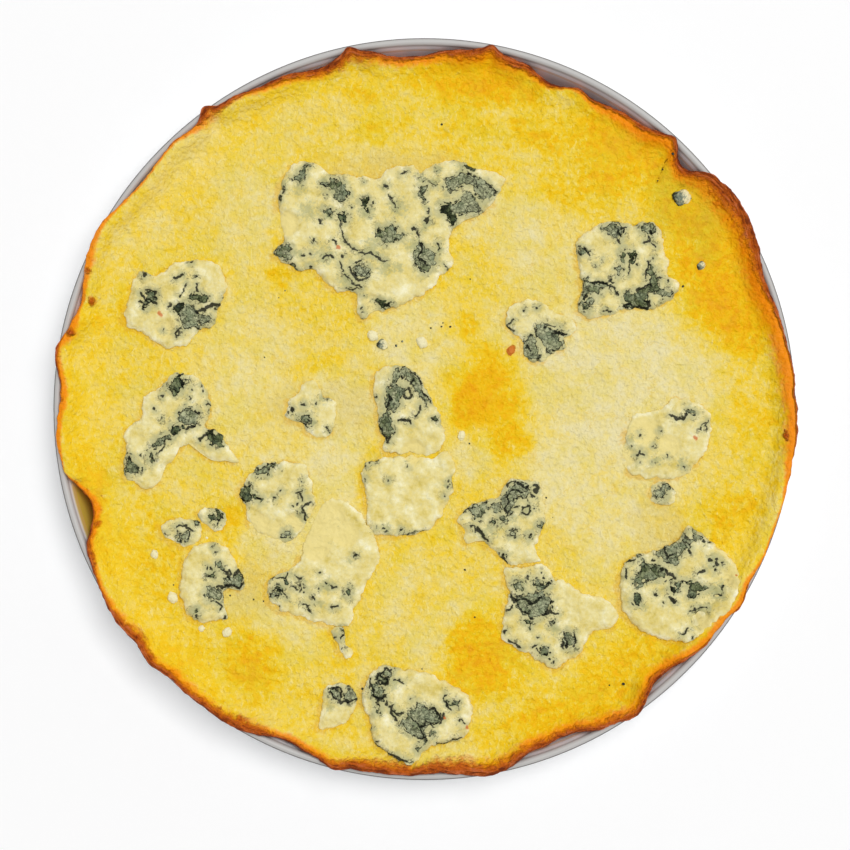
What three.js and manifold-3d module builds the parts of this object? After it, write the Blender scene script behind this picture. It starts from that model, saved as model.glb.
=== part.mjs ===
// A flourless cheese pizza in the round metal tin that it was baked in, with blue cheese on top.
// Millimetres, +Z up. The origin is the centre of the tin's underside.

import * as THREE from "three";
import { mergeVertices } from "three/addons/utils/BufferGeometryUtils.js";
import Module from "manifold-3d";

const wasm = await Module();
wasm.setup();

// The tin is a pressed pan with a sloping wall and a solid rolled bead as its lip.
const tin = {
  height: 20,
  lipRadius: 140,
  beadRadius: 1.4,
  beadSteps: 8,
  floorRadius: 131,
  cornerRadius: 2.6,
  cornerTurns: [0, 35, 70],
  sheet: 1,
  sides: 64,
};

// The pizza fills the tin, and its crust climbs the wall and folds over the lip in places.
// crustRings are distances inwards from the crust's edge. middleRings are radii, each with how many
// of the sectors share one point there.
const pizza = {
  bottom: 1.3,
  middleTop: 16.6,
  crustTopInside: 18.8,
  crustTopOverLip: 22.2,
  crestInset: 1.2,
  riseStart: 2.2,
  riseWidth: 4.4,
  edgeRadius: 138.2,
  wallGap: 0.5,
  lipGap: 0.4,
  sideBelowLip: 5,
  crustRings: [3.6, 7, 11],
  middleRings: [[118, 1], [104, 1], [88, 2], [70, 2], [52, 4], [34, 4], [17, 8]],
  sectors: 144,
};

// Each blue cheese piece is sunk a little, leans out to its side, and rounds over its shoulder.
// Shares are of its thickness, and innerRing is a share of the way to its centre.
const cheese = {
  pointSpacing: 5.4,
  fewestPoints: 12,
  sunk: 1.2,
  footInset: 0.7,
  sideShare: 0.55,
  shoulderInset: 1.3,
  shoulderShare: 0.95,
  innerRing: 0.52,
  centreShare: 0.97,
  deepestInset: 0.4,
  thinnedOnCrust: 0.5,
};

// Space kept between solids that touch.
const touchGap = 0.3;

// The crust's edge seen from above. Each wave is an azimuth and a half width in degrees, and how far
// the edge swells outwards there, or with a minus how far it has drawn back from the wall.
const edgeWaves = [
  [358, 18, 2.4], [2.4, 2, -0.9], [20, 6, -1.1], [33, 12.5, 4.0], [43, 4.6, -4.6], [47.4, 2.2, 1.2],
  [53, 6.5, -3.0], [61, 8, -4.8], [68.6, 5.5, -6.2], [74.5, 6, -2.4], [79.4, 1.6, 1.8], [84, 5, -2.0],
  [91, 7.5, -4.6], [96.5, 6, -2.6], [101.8, 1.8, 1.8], [107.5, 8, -3.2], [116, 7, -2.0], [126.2, 2.3, 2.8],
  [130, 4, -1.0], [140.5, 9, -1.8], [152, 8, 2.2], [163, 7, -2.6], [171.3, 4.5, 2.6], [177.8, 4, -1.3],
  [184.5, 4, 0.8], [196.2, 7.8, -7.2], [214, 12, 2.6], [223, 4.5, 2.6], [229, 6, 1.4], [237, 9, 1.8],
  [247.5, 8, -2.6], [255.9, 3.2, 1.8], [271.5, 4, -1.1], [280, 5.5, 2.0], [287, 4, -2.0], [293, 8, -3.7],
  [305, 4.5, 2.6], [312, 9, -3.2], [328.4, 4, 2.2], [337, 8, 1.4], [345, 7, 1.0],
];

// Blue cheese pieces: thickness, and an outline seen from above, running clockwise.
const cheesePieces = {
  cheese_top_cluster: {
    thickness: 2.2,
    outline: [
      [-50, 92], [-43.7, 93.3], [-39.5, 92], [-37.4, 89.4], [-31.6, 88.8], [-25.4, 88.2], [-17, 87.4],
      [-14.2, 90.1], [-10.7, 91.8], [-6.5, 92.3], [-3.9, 91.6], [-1.6, 88.8], [0.4, 90.9], [5, 92.9],
      [10.8, 94.1], [15.5, 93], [18.8, 90.9], [24.9, 90.1], [30.6, 87.4], [29.1, 83.9], [26.5, 79.2],
      [21.2, 73.8], [15.5, 71.2], [11, 67.8], [9.4, 65.8], [9.6, 62.6], [9.3, 60], [10.8, 56.6],
      [10.2, 53.8], [6.4, 50.8], [3.9, 46.8], [-0.2, 43.6], [-4.9, 41], [-9.6, 38.8], [-14.9, 37.6],
      [-19.6, 36.4], [-23.2, 33.8], [-25.3, 36.6], [-25.2, 40.6], [-26, 43.8], [-32.7, 44.8], [-36.9, 47.2],
      [-39.8, 50.9], [-42.6, 52.9], [-48.2, 52.1], [-51, 54.6], [-56.8, 58.4], [-55.6, 61.4], [-53.6, 63.4],
      [-53.2, 67], [-54.5, 71.8], [-55.4, 77], [-54.6, 82.5], [-53.4, 87],
    ],
  },
  cheese_upper_right: {
    thickness: 2.2,
    outline: [
      [60, 66.3], [66, 69.8], [72, 70.9], [79, 70], [86, 70.6], [89.8, 67], [90, 60], [92.4, 55],
      [91.8, 51], [96.8, 47], [94, 42.5], [87, 38.2], [76, 37.9], [68, 35], [60, 35.3], [57.8, 38.5],
      [59.4, 45], [58.9, 53], [57.2, 61],
    ],
  },
  cheese_upper_right_small: {
    thickness: 1.6,
    outline: [
      [31, 35], [33, 39.3], [39, 41.2], [45, 40.2], [49.5, 36.2], [54, 35], [57.8, 32], [56, 28.6],
      [53, 26.8], [52.8, 23.2], [48.5, 21.3], [45.5, 18.5], [41, 17.8], [38, 20.5], [37, 25.5], [33.5, 29],
      [30.8, 31.5],
    ],
  },
  cheese_left_upper: {
    thickness: 2.2,
    outline: [
      [-107.5, 52], [-101, 50.3], [-96, 54.8], [-88, 55.9], [-80, 56], [-75.6, 51], [-75.3, 44],
      [-78.5, 37], [-80.5, 31], [-86, 29.8], [-89, 25.3], [-95, 23.2], [-101, 24.5], [-106.5, 29],
      [-112.8, 31.5], [-111.8, 42],
    ],
  },
  cheese_left_middle: {
    thickness: 2,
    outline: [
      [-99.5, 8.5], [-96, 12.7], [-90, 13.5], [-85, 11], [-81.5, 5], [-80.6, -1], [-82.6, -5.6],
      [-82, -7.6], [-79, -7.6], [-76.6, -10], [-74, -14.5], [-69.6, -20.3], [-75, -19.6], [-80, -19.3],
      [-84.6, -16.6], [-87.6, -13.6], [-91, -13.6], [-95.5, -19.5], [-99.5, -22.5], [-99.8, -27],
      [-104.5, -30], [-109, -28], [-113.5, -25], [-113, -16], [-113.3, -8.5], [-107.5, -3.5], [-106, 4],
    ],
  },
  cheese_centre_left: {
    thickness: 1.6,
    outline: [
      [-46, 9.5], [-42.5, 10.9], [-39.8, 9], [-38.3, 5.5], [-34, 2.8], [-33.8, -3], [-35.3, -9.5],
      [-39.5, -10.8], [-44, -8.8], [-47, -5.3], [-52, -3], [-51.3, 3.3], [-47.6, 6],
    ],
  },
  cheese_centre_vein: {
    thickness: 2,
    outline: [
      [-18.6, 13.5], [-15, 16.2], [-7.5, 16.2], [-2, 12.5], [1, 6.5], [4.5, 0], [6.2, -4.5], [7.6, -9.5],
      [6.2, -14], [2.2, -17.3], [-5, -16.6], [-12.5, -16.4], [-15.6, -14.4], [-15, -11.6], [-17.2, -7],
      [-17.4, -2], [-18.8, 4],
    ],
  },
  cheese_centre_plain: {
    thickness: 2.2,
    outline: [
      [-23, -21.5], [-15, -18.4], [-5, -17.8], [3, -18.6], [7.6, -15.8], [11.5, -22.5], [10.4, -27],
      [10.8, -31], [8.6, -35], [7.8, -38], [2.6, -44.8], [-9, -48], [-15, -47.6], [-18.5, -47.2],
      [-21.6, -44], [-21.4, -41], [-21.5, -34], [-23.6, -27],
    ],
  },
  cheese_left_centre: {
    thickness: 1.8,
    outline: [
      [-66, -25], [-63, -21], [-57, -20.2], [-46, -21.2], [-42.5, -29], [-41.5, -37], [-44.5, -43],
      [-51, -50], [-58.5, -48], [-66, -43], [-67.6, -37], [-70, -32.5], [-68.5, -28.5],
    ],
  },
  cheese_lower_centre: {
    thickness: 1.7,
    outline: [
      [-59, -65], [-56, -62.6], [-51, -60.8], [-47.4, -57.6], [-45.8, -51], [-43.2, -45.4], [-40, -38.4],
      [-37.2, -34.6], [-31, -34.4], [-25.4, -38], [-20.6, -44.6], [-17, -53], [-18, -59.6], [-21.4, -65.4],
      [-23.8, -71], [-26.8, -75.6], [-27.2, -80.2], [-31, -82], [-38, -81], [-46, -78.5], [-54.5, -75.5],
      [-59.8, -70.5],
    ],
  },
  cheese_lower_tail: {
    thickness: 1.4,
    outline: [
      [-35.5, -83.5], [-31, -82.8], [-30, -86], [-29.6, -89.2], [-27, -91.5], [-29.5, -94.6], [-32, -91],
      [-33.8, -87],
    ],
  },
  cheese_lens_left: {
    thickness: 1.7,
    outline: [
      [-100.3, -44.5], [-97, -42], [-91, -41.3], [-86.5, -42], [-84, -45], [-83.8, -48], [-87, -51],
      [-90.5, -52.3], [-94, -50.5], [-98.5, -48],
    ],
  },
  cheese_lens_right: {
    thickness: 1.5,
    outline: [
      [-85.8, -40], [-84, -38], [-79.5, -37.2], [-76, -39], [-74.8, -42], [-76, -44.8], [-79.5, -46.3],
      [-83, -44],
    ],
  },
  cheese_lower_left: {
    thickness: 2.2,
    outline: [
      [-88.5, -53.4], [-84, -50.8], [-78, -50.8], [-73.5, -53.5], [-70.8, -59], [-68, -65], [-69.5, -68.2],
      [-74.8, -68], [-75.8, -74], [-74.5, -79], [-80, -80], [-85, -80.6], [-89.5, -77.5], [-92.3, -70],
      [-92, -62],
    ],
  },
  cheese_bottom: {
    thickness: 2.6,
    outline: [
      [-22, -103], [-15.5, -97], [-8, -98.5], [2, -100], [8, -103.3], [14.5, -106.6], [18.3, -111.5],
      [17, -118.5], [16.5, -122.8], [8, -126.3], [1.5, -127.8], [-5, -133.6], [-12.5, -130.5],
      [-18.8, -126], [-20.3, -119], [-23.6, -110],
    ],
  },
  cheese_bottom_small: {
    thickness: 1.7,
    outline: [
      [-36.8, -104.8], [-28.5, -104.7], [-25.2, -108.6], [-27, -114.5], [-31, -119.3], [-39.8, -121],
      [-39, -114],
    ],
  },
  cheese_low_right_upper: {
    thickness: 1.9,
    outline: [
      [12.8, -41.5], [14.2, -38.6], [18.5, -35.8], [24, -34.2], [28, -33.2], [29.6, -30], [32.6, -26.7],
      [37, -26.2], [43.8, -28.8], [44.4, -33], [45.5, -39], [44.6, -44], [43.2, -49], [41.9, -52],
      [43, -55.4], [44, -57.4], [38, -58.2], [33.5, -59], [29.8, -57], [26.8, -53.8], [23.6, -51.2],
      [19.6, -50], [16, -50.8], [14.8, -46],
    ],
  },
  cheese_low_right_lower: {
    thickness: 2.1,
    outline: [
      [30, -60.6], [33.6, -60], [38, -59.2], [44.4, -58.4], [46.4, -59.4], [49, -63.5], [53.5, -65.6],
      [59, -69.3], [64, -70.4], [69, -72.5], [73.2, -77.5], [71, -82.3], [66.5, -83.4], [62.8, -84.8],
      [60.8, -89], [59.5, -92.5], [54.5, -94.6], [50.5, -98], [45.5, -96.8], [41, -93.6], [35, -90.6],
      [30.3, -87.3], [29.2, -81], [30.2, -76], [32, -70], [30.6, -65],
    ],
  },
  cheese_right_pale: {
    thickness: 1.6,
    outline: [
      [80, -2], [89, -0.5], [95, 4.2], [101, 3.2], [107.5, -1.5], [108, -11], [104.5, -19], [97, -25.5],
      [87, -26], [77.5, -24], [75.5, -15], [76.5, -7],
    ],
  },
  cheese_right_small: {
    thickness: 1.5,
    outline: [
      [87.5, -28.3], [91, -27.6], [94.6, -30.2], [94.5, -34.5], [90, -36.4], [86, -34],
    ],
  },
  cheese_lower_right: {
    thickness: 2.7,
    outline: [
      [75.5, -58.5], [80.5, -54.8], [88, -53.5], [96.5, -48.8], [99.5, -44.4], [103, -45.5], [109, -50.5],
      [116.5, -57.5], [118.6, -65], [115.3, -74], [107.5, -80.8], [100, -87.2], [90.5, -87], [80, -82.3],
      [74.3, -75], [73.8, -66],
    ],
  },
};

// Crumbs too small to be pieces: x, y and radius. They are one body with the pizza.
const crumbs = [
  [97.3, 80, 3.4], [104.6, 54.2, 1.8], [-19.6, 27.8, 2.2], [-15.9, 24.4, 2.2], [-0.8, 25.2, 2.3],
  [-102, -55, 1.7], [-95.3, -71.2, 2.2], [-84.3, -83, 1.4], [-74.6, -84.4, 1.9], [-20.3, -52, 2.3],
  [14, -10, 1.7], [32.6, 22.2, 1.8],
];

const vector = (x, y, z) => new THREE.Vector3(x, y, z);

function smoothStep(low, high, value) {
  return THREE.MathUtils.smoothstep(value, low, high);
}

// Radius of the crust's edge at an azimuth in degrees.
function edgeRadius(azimuth) {
  let radius = pizza.edgeRadius;
  for (const [centre, halfWidth, swell] of edgeWaves) {
    const turn = THREE.MathUtils.euclideanModulo(azimuth - centre + 180, 360) - 180;
    const share = Math.min(1, Math.abs(turn) / halfWidth);
    radius += (swell * (1 + Math.cos(Math.PI * share))) / 2;
  }
  return radius;
}

// 0 where the crust's edge has drawn back from the wall, 1 where it reaches the wall or lies over the lip.
function overLip(edge) {
  const wallTop = tin.lipRadius - 2 * tin.beadRadius;
  const drawnBack = wallTop - 2.4;
  const touching = wallTop - 0.6;
  return smoothStep(drawnBack, touching, edge);
}

// Height of the crust's crest, a little uneven round the pizza.
function crestHeight(azimuth, edge) {
  const turn = THREE.MathUtils.degToRad(azimuth);
  const uneven = 0.3 * Math.sin(5 * turn + 1) + 0.25 * Math.sin(11 * turn + 2.2);
  return THREE.MathUtils.lerp(pizza.crustTopInside, pizza.crustTopOverLip, overLip(edge)) + uneven;
}

// Height of the baked cheese surface: gentle swells in the middle, rising to the crest at the edge.
function surfaceHeight(x, y) {
  const broadSwell = 0.35 * Math.sin(x / 17 + 1.3) * Math.cos(y / 21 - 0.6);
  const narrowSwell = 0.25 * Math.sin((x + y) / 13 + 0.8);
  const azimuth = THREE.MathUtils.radToDeg(Math.atan2(y, x));
  const edge = edgeRadius(azimuth);
  const inwards = Math.max(0, edge - Math.hypot(x, y) - pizza.riseStart) / pizza.riseWidth;
  const middle = pizza.middleTop + broadSwell + narrowSwell;
  return middle + (crestHeight(azimuth, edge) - middle) * Math.exp(-inwards * inwards);
}

// Inner radius of the tin's wall at a height.
function wallRadius(height) {
  const wallTop = tin.height - tin.beadRadius;
  const wallFoot = tin.sheet + tin.cornerRadius;
  const share = (height - wallFoot) / (wallTop - wallFoot);
  return THREE.MathUtils.lerp(tin.floorRadius, tin.lipRadius - 2 * tin.beadRadius, share);
}

function latheSolid(profile) {
  const geometry = new THREE.LatheGeometry(profile, tin.sides);
  geometry.rotateX(Math.PI / 2);
  return toManifold(geometry);
}

// A closed body through rings of points that run anticlockwise seen from above. The first ring is
// closed at the bottom and the last at the top by a point, and a ring may have half the points of
// the one before it.
function ringGeometry(bottomPoint, rings, topPoint) {
  const positions = [];
  const faces = [];
  const add = (point) => positions.push(point.x, point.y, point.z) / 3 - 1;
  const bottom = add(bottomPoint);
  const rows = rings.map((ring) => ring.map(add));
  const top = add(topPoint);
  const at = (row, index) => row[index % row.length];

  rows[0].forEach((corner, index) => faces.push(bottom, at(rows[0], index + 1), corner));
  for (let level = 1; level < rows.length; level += 1) {
    const lower = rows[level - 1];
    const upper = rows[level];
    const halved = lower.length === 2 * upper.length;
    upper.forEach((corner, index) => {
      const next = at(upper, index + 1);
      if (halved) {
        const middle = at(lower, 2 * index + 1);
        faces.push(lower[2 * index], middle, corner, middle, next, corner);
        faces.push(middle, at(lower, 2 * index + 2), next);
      } else {
        faces.push(lower[index], at(lower, index + 1), next, lower[index], next, corner);
      }
    });
  }
  const last = rows[rows.length - 1];
  last.forEach((corner, index) => faces.push(corner, at(last, index + 1), top));

  const geometry = new THREE.BufferGeometry();
  geometry.setAttribute("position", new THREE.Float32BufferAttribute(positions, 3));
  geometry.setIndex(faces);
  return geometry;
}

function toManifold(geometry) {
  geometry.deleteAttribute("normal");
  geometry.deleteAttribute("uv");
  const merged = mergeVertices(geometry);
  const mesh = new wasm.Mesh({
    numProp: 3,
    vertProperties: new Float32Array(merged.attributes.position.array),
    triVerts: new Uint32Array(merged.index.array),
  });
  return new wasm.Manifold(mesh);
}

function toMesh(solid, name, material) {
  const { vertProperties, triVerts } = solid.getMesh();
  const geometry = new THREE.BufferGeometry();
  geometry.setAttribute("position", new THREE.Float32BufferAttribute(vertProperties, 3));
  geometry.setIndex(Array.from(triVerts));
  geometry.computeVertexNormals();
  const mesh = new THREE.Mesh(geometry, material);
  mesh.name = name;
  return mesh;
}

// Points round the lip's bead, from one angle to another, grown by a margin.
function beadPoints(fromDegrees, toDegrees, steps, margin) {
  const centreRadius = tin.lipRadius - tin.beadRadius;
  const centreHeight = tin.height - tin.beadRadius;
  return Array.from({ length: steps + 1 }, (unused, step) => {
    const angle = THREE.MathUtils.degToRad(THREE.MathUtils.lerp(fromDegrees, toDegrees, step / steps));
    const reach = tin.beadRadius + margin;
    return new THREE.Vector2(centreRadius + reach * Math.cos(angle), centreHeight + reach * Math.sin(angle));
  });
}

function buildTin() {
  const corner = (radius, reach, turn) => {
    const angle = THREE.MathUtils.degToRad(turn);
    return new THREE.Vector2(radius + reach * Math.sin(angle), reach * (1 - Math.cos(angle)));
  };
  const cornerCentre = tin.floorRadius - tin.cornerRadius;
  const outside = tin.cornerTurns.map((turn) => corner(cornerCentre, tin.cornerRadius + tin.sheet, turn));
  const inside = tin.cornerTurns.map((turn) => corner(cornerCentre, tin.cornerRadius, turn));
  inside.forEach((point) => {
    point.y += tin.sheet;
  });
  const profile = [
    new THREE.Vector2(0, 0),
    ...outside,
    ...beadPoints(-105, 180, tin.beadSteps, 0),
    ...inside.reverse(),
    new THREE.Vector2(0, tin.sheet),
  ];
  return latheSolid(profile);
}

// The room that the tin's wall and lip need, cut out of the crust.
function buildTinRoom() {
  const low = -1;
  const outer = tin.lipRadius + touchGap;
  const beadMargin = touchGap + 0.05;
  const profile = [
    new THREE.Vector2(wallRadius(low) - touchGap, low),
    new THREE.Vector2(outer, low),
    ...beadPoints(0, 180, tin.beadSteps + 2, beadMargin),
  ];
  profile.push(profile[0].clone());
  return latheSolid(profile);
}

// The pizza's section at one azimuth, from its underside over the crust to the inner foot of the rise.
function crustSection(azimuth) {
  const edge = edgeRadius(azimuth);
  const over = overLip(edge);
  const crest = crestHeight(azimuth, edge);
  const sideTop = tin.height - pizza.sideBelowLip;
  const underside = THREE.MathUtils.lerp(sideTop, tin.height + pizza.lipGap, over);
  const alongWall = (share, drawnIn) => {
    const height = share * tin.height;
    return [Math.min(wallRadius(height) - pizza.wallGap, edge - drawnIn), height];
  };
  const turnOut = Math.min(wallRadius(tin.height) - 1.1, edge);
  const section = [
    [Math.min(tin.floorRadius, edge) - 3, pizza.bottom],
    alongWall(0.19, 1.2),
    alongWall(0.475, 0.5),
    alongWall(0.73, 0.1),
    [turnOut, underside],
    [Math.max(turnOut, edge - 0.8), underside + 0.2],
    [edge, THREE.MathUtils.lerp(underside, crest, 0.45)],
    [edge - pizza.crestInset, crest],
  ];
  const points = section.map(([radius, height]) => ringPoint(radius, azimuth, height));
  for (const inwards of pizza.crustRings) {
    points.push(surfacePoint(edge - inwards, azimuth));
  }
  return points;
}

function ringPoint(radius, azimuth, height) {
  const turn = THREE.MathUtils.degToRad(azimuth);
  return vector(radius * Math.cos(turn), radius * Math.sin(turn), height);
}

function surfacePoint(radius, azimuth) {
  const point = ringPoint(radius, azimuth, 0);
  point.z = surfaceHeight(point.x, point.y);
  return point;
}

function buildPizza() {
  const azimuths = Array.from({ length: pizza.sectors }, (unused, sector) => (360 * sector) / pizza.sectors);
  const sections = azimuths.map(crustSection);
  const rings = sections[0].map((unused, level) => sections.map((section) => section[level]));
  for (const [radius, share] of pizza.middleRings) {
    const coarse = azimuths.filter((unused, sector) => sector % share === 0);
    rings.push(coarse.map((azimuth) => surfacePoint(radius, azimuth)));
  }
  let solid = toManifold(ringGeometry(vector(0, 0, pizza.bottom), rings, surfacePoint(0, 0)));
  for (const [x, y, radius] of crumbs) {
    const crumb = new THREE.SphereGeometry(radius, 6, 4);
    crumb.scale(1, 0.85, 0.62);
    crumb.rotateZ(x);
    crumb.translate(x, y, surfaceHeight(x, y));
    solid = solid.add(toManifold(crumb));
  }
  return solid.subtract(buildTinRoom());
}

// A slice of blue cheese that follows the surface under it: rounded sides and a slightly uneven top.
function buildCheesePiece({ outline, thickness }, seat) {
  const corners = outline.map(([x, y]) => vector(x, y, 0)).reverse();
  const curve = new THREE.CatmullRomCurve3(corners, true, "centripetal");
  const count = Math.max(cheese.fewestPoints, Math.round(curve.getLength() / cheese.pointSpacing));
  const rim = curve.getSpacedPoints(count).slice(0, count);
  const centre = rim.reduce((sum, point) => sum.add(point), vector(0, 0, 0)).divideScalar(count);
  const place = (point, lift) => {
    const surface = surfaceHeight(point.x, point.y);
    const climb = smoothStep(pizza.middleTop + 1, pizza.crustTopOverLip, surface);
    const uneven = lift > 0 ? 0.1 * Math.sin(point.x / 3.1) * Math.cos(point.y / 3.7) : 0;
    return vector(point.x, point.y, surface + lift * (1 + uneven) * (1 - cheese.thinnedOnCrust * climb));
  };
  const ring = (inset, lift) =>
    rim.map((point) => {
      const share = Math.min(inset / point.distanceTo(centre), cheese.deepestInset);
      return place(point.clone().lerp(centre, share), lift);
    });
  const rings = [
    ring(cheese.footInset, -cheese.sunk),
    ring(0, cheese.sideShare * thickness),
    ring(cheese.shoulderInset, cheese.shoulderShare * thickness),
    rim.map((point) => place(point.clone().lerp(centre, cheese.innerRing), thickness)),
  ];
  const foot = place(centre, -cheese.sunk);
  const top = place(centre, cheese.centreShare * thickness);
  return toManifold(ringGeometry(foot, rings, top)).subtract(seat);
}

const brightMetal = new THREE.MeshStandardMaterial({ color: 0xb9b4b0, roughness: 0.3, metalness: 1 });
const bakedCheese = new THREE.MeshStandardMaterial({ color: 0xeecb45, roughness: 0.55, metalness: 0 });

const group = new THREE.Group();
const pizzaSolid = buildPizza();
const seat = pizzaSolid.translate([0, 0, touchGap]);

group.add(toMesh(buildTin(), "baking_tin", brightMetal));
group.add(toMesh(pizzaSolid, "cheese_base", bakedCheese));
for (const [name, piece] of Object.entries(cheesePieces)) {
  const blueCheese = new THREE.MeshStandardMaterial({ color: 0xe4d893, roughness: 0.6, metalness: 0 });
  group.add(toMesh(buildCheesePiece(piece, seat), name, blueCheese));
}

export default group;
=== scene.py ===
import math

import bpy
import numpy as np
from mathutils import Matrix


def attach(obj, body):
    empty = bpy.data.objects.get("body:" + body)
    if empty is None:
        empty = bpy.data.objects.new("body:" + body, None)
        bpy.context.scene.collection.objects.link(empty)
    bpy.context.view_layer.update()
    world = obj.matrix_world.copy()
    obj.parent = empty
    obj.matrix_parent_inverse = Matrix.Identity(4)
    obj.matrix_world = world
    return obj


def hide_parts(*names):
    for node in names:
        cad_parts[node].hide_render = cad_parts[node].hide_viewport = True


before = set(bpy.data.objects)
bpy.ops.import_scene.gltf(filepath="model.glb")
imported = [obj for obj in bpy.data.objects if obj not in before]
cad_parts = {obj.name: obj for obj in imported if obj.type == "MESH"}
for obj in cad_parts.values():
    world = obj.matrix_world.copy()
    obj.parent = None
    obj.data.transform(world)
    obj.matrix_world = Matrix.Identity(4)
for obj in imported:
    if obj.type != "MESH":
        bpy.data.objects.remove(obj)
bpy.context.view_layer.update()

# All shapes are in millimetres, in the frame of the CAD part, and become metres as meshes are made.
millimetre = 0.001

# The same driving dimensions as the CAD part.
tin = {
    "height": 20, "lipRadius": 140, "beadRadius": 1.4, "floorRadius": 131, "cornerRadius": 2.6,
    "cornerTurn": 70, "sheet": 1,
}
pizza = {
    "bottom": 1.3, "middleTop": 16.6, "crustTopInside": 18.8, "crustTopOverLip": 22.2,
    "riseStart": 2.2, "riseWidth": 4.4, "edgeRadius": 138.2, "wallGap": 0.5, "lipGap": 0.4,
    "sideBelowLip": 5, "overLipFrom": 2.4, "overLipTo": .6,
}
cheese = {"sunk": 1.2, "footInset": 0.7, "thinnedOnCrust": 0.5}

# The crust's edge: azimuth, half width in degrees, and how far it swells out or has drawn back.
edgeWaves = [
    (358, 18, 2.4), (2.4, 2, -.9), (20, 6, -1.1), (33, 12.5, 4), (43, 4.6, -4.6), (47.4, 2.2, 1.2),
    (53, 6.5, -3), (61, 8, -4.8), (68.6, 5.5, -6.2), (74.5, 6, -2.4), (79.4, 1.6, 1.8), (84, 5, -2),
    (91, 7.5, -4.6), (96.5, 6, -2.6), (101.8, 1.8, 1.8), (107.5, 8, -3.2), (116, 7, -2), (126.2, 2.3, 2.8),
    (130, 4, -1), (140.5, 9, -1.8), (152, 8, 2.2), (163, 7, -2.6), (171.3, 4.5, 2.6), (177.8, 4, -1.3),
    (184.5, 4, .8), (196.2, 7.8, -7.2), (214, 12, 2.6), (223, 4.5, 2.6), (229, 6, 1.4), (237, 9, 1.8),
    (247.5, 8, -2.6), (255.9, 3.2, 1.8), (271.5, 4, -1.1), (280, 5.5, 2), (287, 4, -2), (293, 8, -3.7),
    (305, 4.5, 2.6), (312, 9, -3.2), (328.4, 4, 2.2), (337, 8, 1.4), (345, 7, 1),
]

# Crumbs of blue cheese on the pizza: x, y, radius, and how dark they are.
crumbs = [
    (97.3, 80, 3.4, .45), (104.6, 54.2, 1.8, .5), (-19.6, 27.8, 2.2, 0), (-15.9, 24.4, 2.2, .4),
    (-.8, 25.2, 2.3, 0), (-102, -55, 1.7, .15), (-95.3, -71.2, 2.2, 0), (-84.3, -83, 1.4, 0),
    (-74.6, -84.4, 1.9, 0), (-20.3, -52, 2.3, .05), (14, -10, 1.7, 0), (32.6, 22.2, 1.8, -1),
]

# Herb-like specks of mould that lie on the baked cheese: x, y, radius and darkness.
specks = [
    (6.5, 107.7, .5, 1), (-36.7, 38.5, .35, 1), (-52.7, 44.8, .3, .8), (-55.1, 42.1, .3, .8),
    (2.5, 30.6, .5, .9), (4.3, 32.2, .45, 1), (6.4, 31.2, .4, .9), (9.8, 31.2, .45, 1), (7, 32.6, .3, .9),
    (19, -78.6, .65, 1), (15.3, -60.8, .4, 1), (46, -33.5, .4, .9), (-60.5, 19.6, .3, .8),
    (17, -13, .35, .9), (0, -56.9, .35, .8), (17.3, 49.2, .3, .9), (-82.3, -48.6, .7, 0),
    (-64.6, -72, .35, .9), (-60.9, -72.6, .35, .9), (-73.5, -70.5, .35, .9), (-26.5, -52.6, .3, .8),
    (-28.4, -52.2, .25, .8), (-10.7, 24, .5, .6), (-8.4, 25.6, .45, .6), (97.8, 46.5, .5, .9),
    (104.8, 1.4, .3, .9), (-14.7, -48.9, .4, .8), (-17, -47.9, .4, .8), (75.3, -104, .6, 1),
    (70, -104.5, .3, .9), (-.9, -98.3, .3, .7), (-10.7, 57.4, .3, .9), (48.5, -41, .3, .9),
    (-94.9, -66.5, .3, .8), (52.6, -45, .25, .8), (-23.5, -105.8, .5, .8), (-23.2, -107.2, .35, .8),
    (93.4, 96, .55, .9), (90, 90.6, .4, 1), (88.2, 86.4, .3, 1),
]

latticeCells = 256
curveSteps = 12
measuringPoints = 400


def smoothStep(low, high, value):
    share = np.clip((value - low) / (high - low), 0, 1)
    return share * share * (3 - 2 * share)


# Gradient noise between about -1 and 1, with lumps of that size.
def softNoise(x, y, size, seed):
    turns = np.random.default_rng(seed).uniform(0, 2 * np.pi, (latticeCells, latticeCells))
    slopeX, slopeY = np.cos(turns), np.sin(turns)
    u, v = x / size, y / size
    column, row = np.floor(u).astype(int), np.floor(v).astype(int)
    partU, partV = u - column, v - row

    def corner(stepU, stepV):
        cell = (column + stepU) % latticeCells, (row + stepV) % latticeCells
        return slopeX[cell] * (partU - stepU) + slopeY[cell] * (partV - stepV)

    fadeU = partU ** 3 * (partU * (partU * 6 - 15) + 10)
    fadeV = partV ** 3 * (partV * (partV * 6 - 15) + 10)
    low = corner(0, 0) * (1 - fadeU) + corner(1, 0) * fadeU
    high = corner(0, 1) * (1 - fadeU) + corner(1, 1) * fadeU
    return 1.5 * (low * (1 - fadeV) + high * fadeV)


def roughNoise(x, y, size, seed, layers=3):
    return sum(softNoise(x, y, size / 2 ** layer, seed + layer) / 2 ** layer for layer in range(layers))


def lineDistance(x, y, line, closed=False):
    corners = list(line) + ([line[0]] if closed else [])
    nearest = np.full(x.shape, np.inf)
    for (startX, startY), (endX, endY) in zip(corners, corners[1:]):
        alongX, alongY = endX - startX, endY - startY
        length = max(alongX ** 2 + alongY ** 2, 1e-9)
        share = np.clip(((x - startX) * alongX + (y - startY) * alongY) / length, 0, 1)
        nearest = np.minimum(nearest, np.hypot(x - startX - share * alongX, y - startY - share * alongY))
    return nearest


# Distance to an outline, below 0 inside it.
def outlineDistance(x, y, outline):
    inside = np.zeros(x.shape, bool)
    for (startX, startY), (endX, endY) in zip(outline, list(outline[1:]) + [outline[0]]):
        if startY != endY:
            crossing = startX + (y - startY) * (endX - startX) / (endY - startY)
            inside ^= ((startY > y) != (endY > y)) & (x < crossing)
    away = lineDistance(x, y, outline, closed=True)
    return np.where(inside, -away, away)


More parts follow.
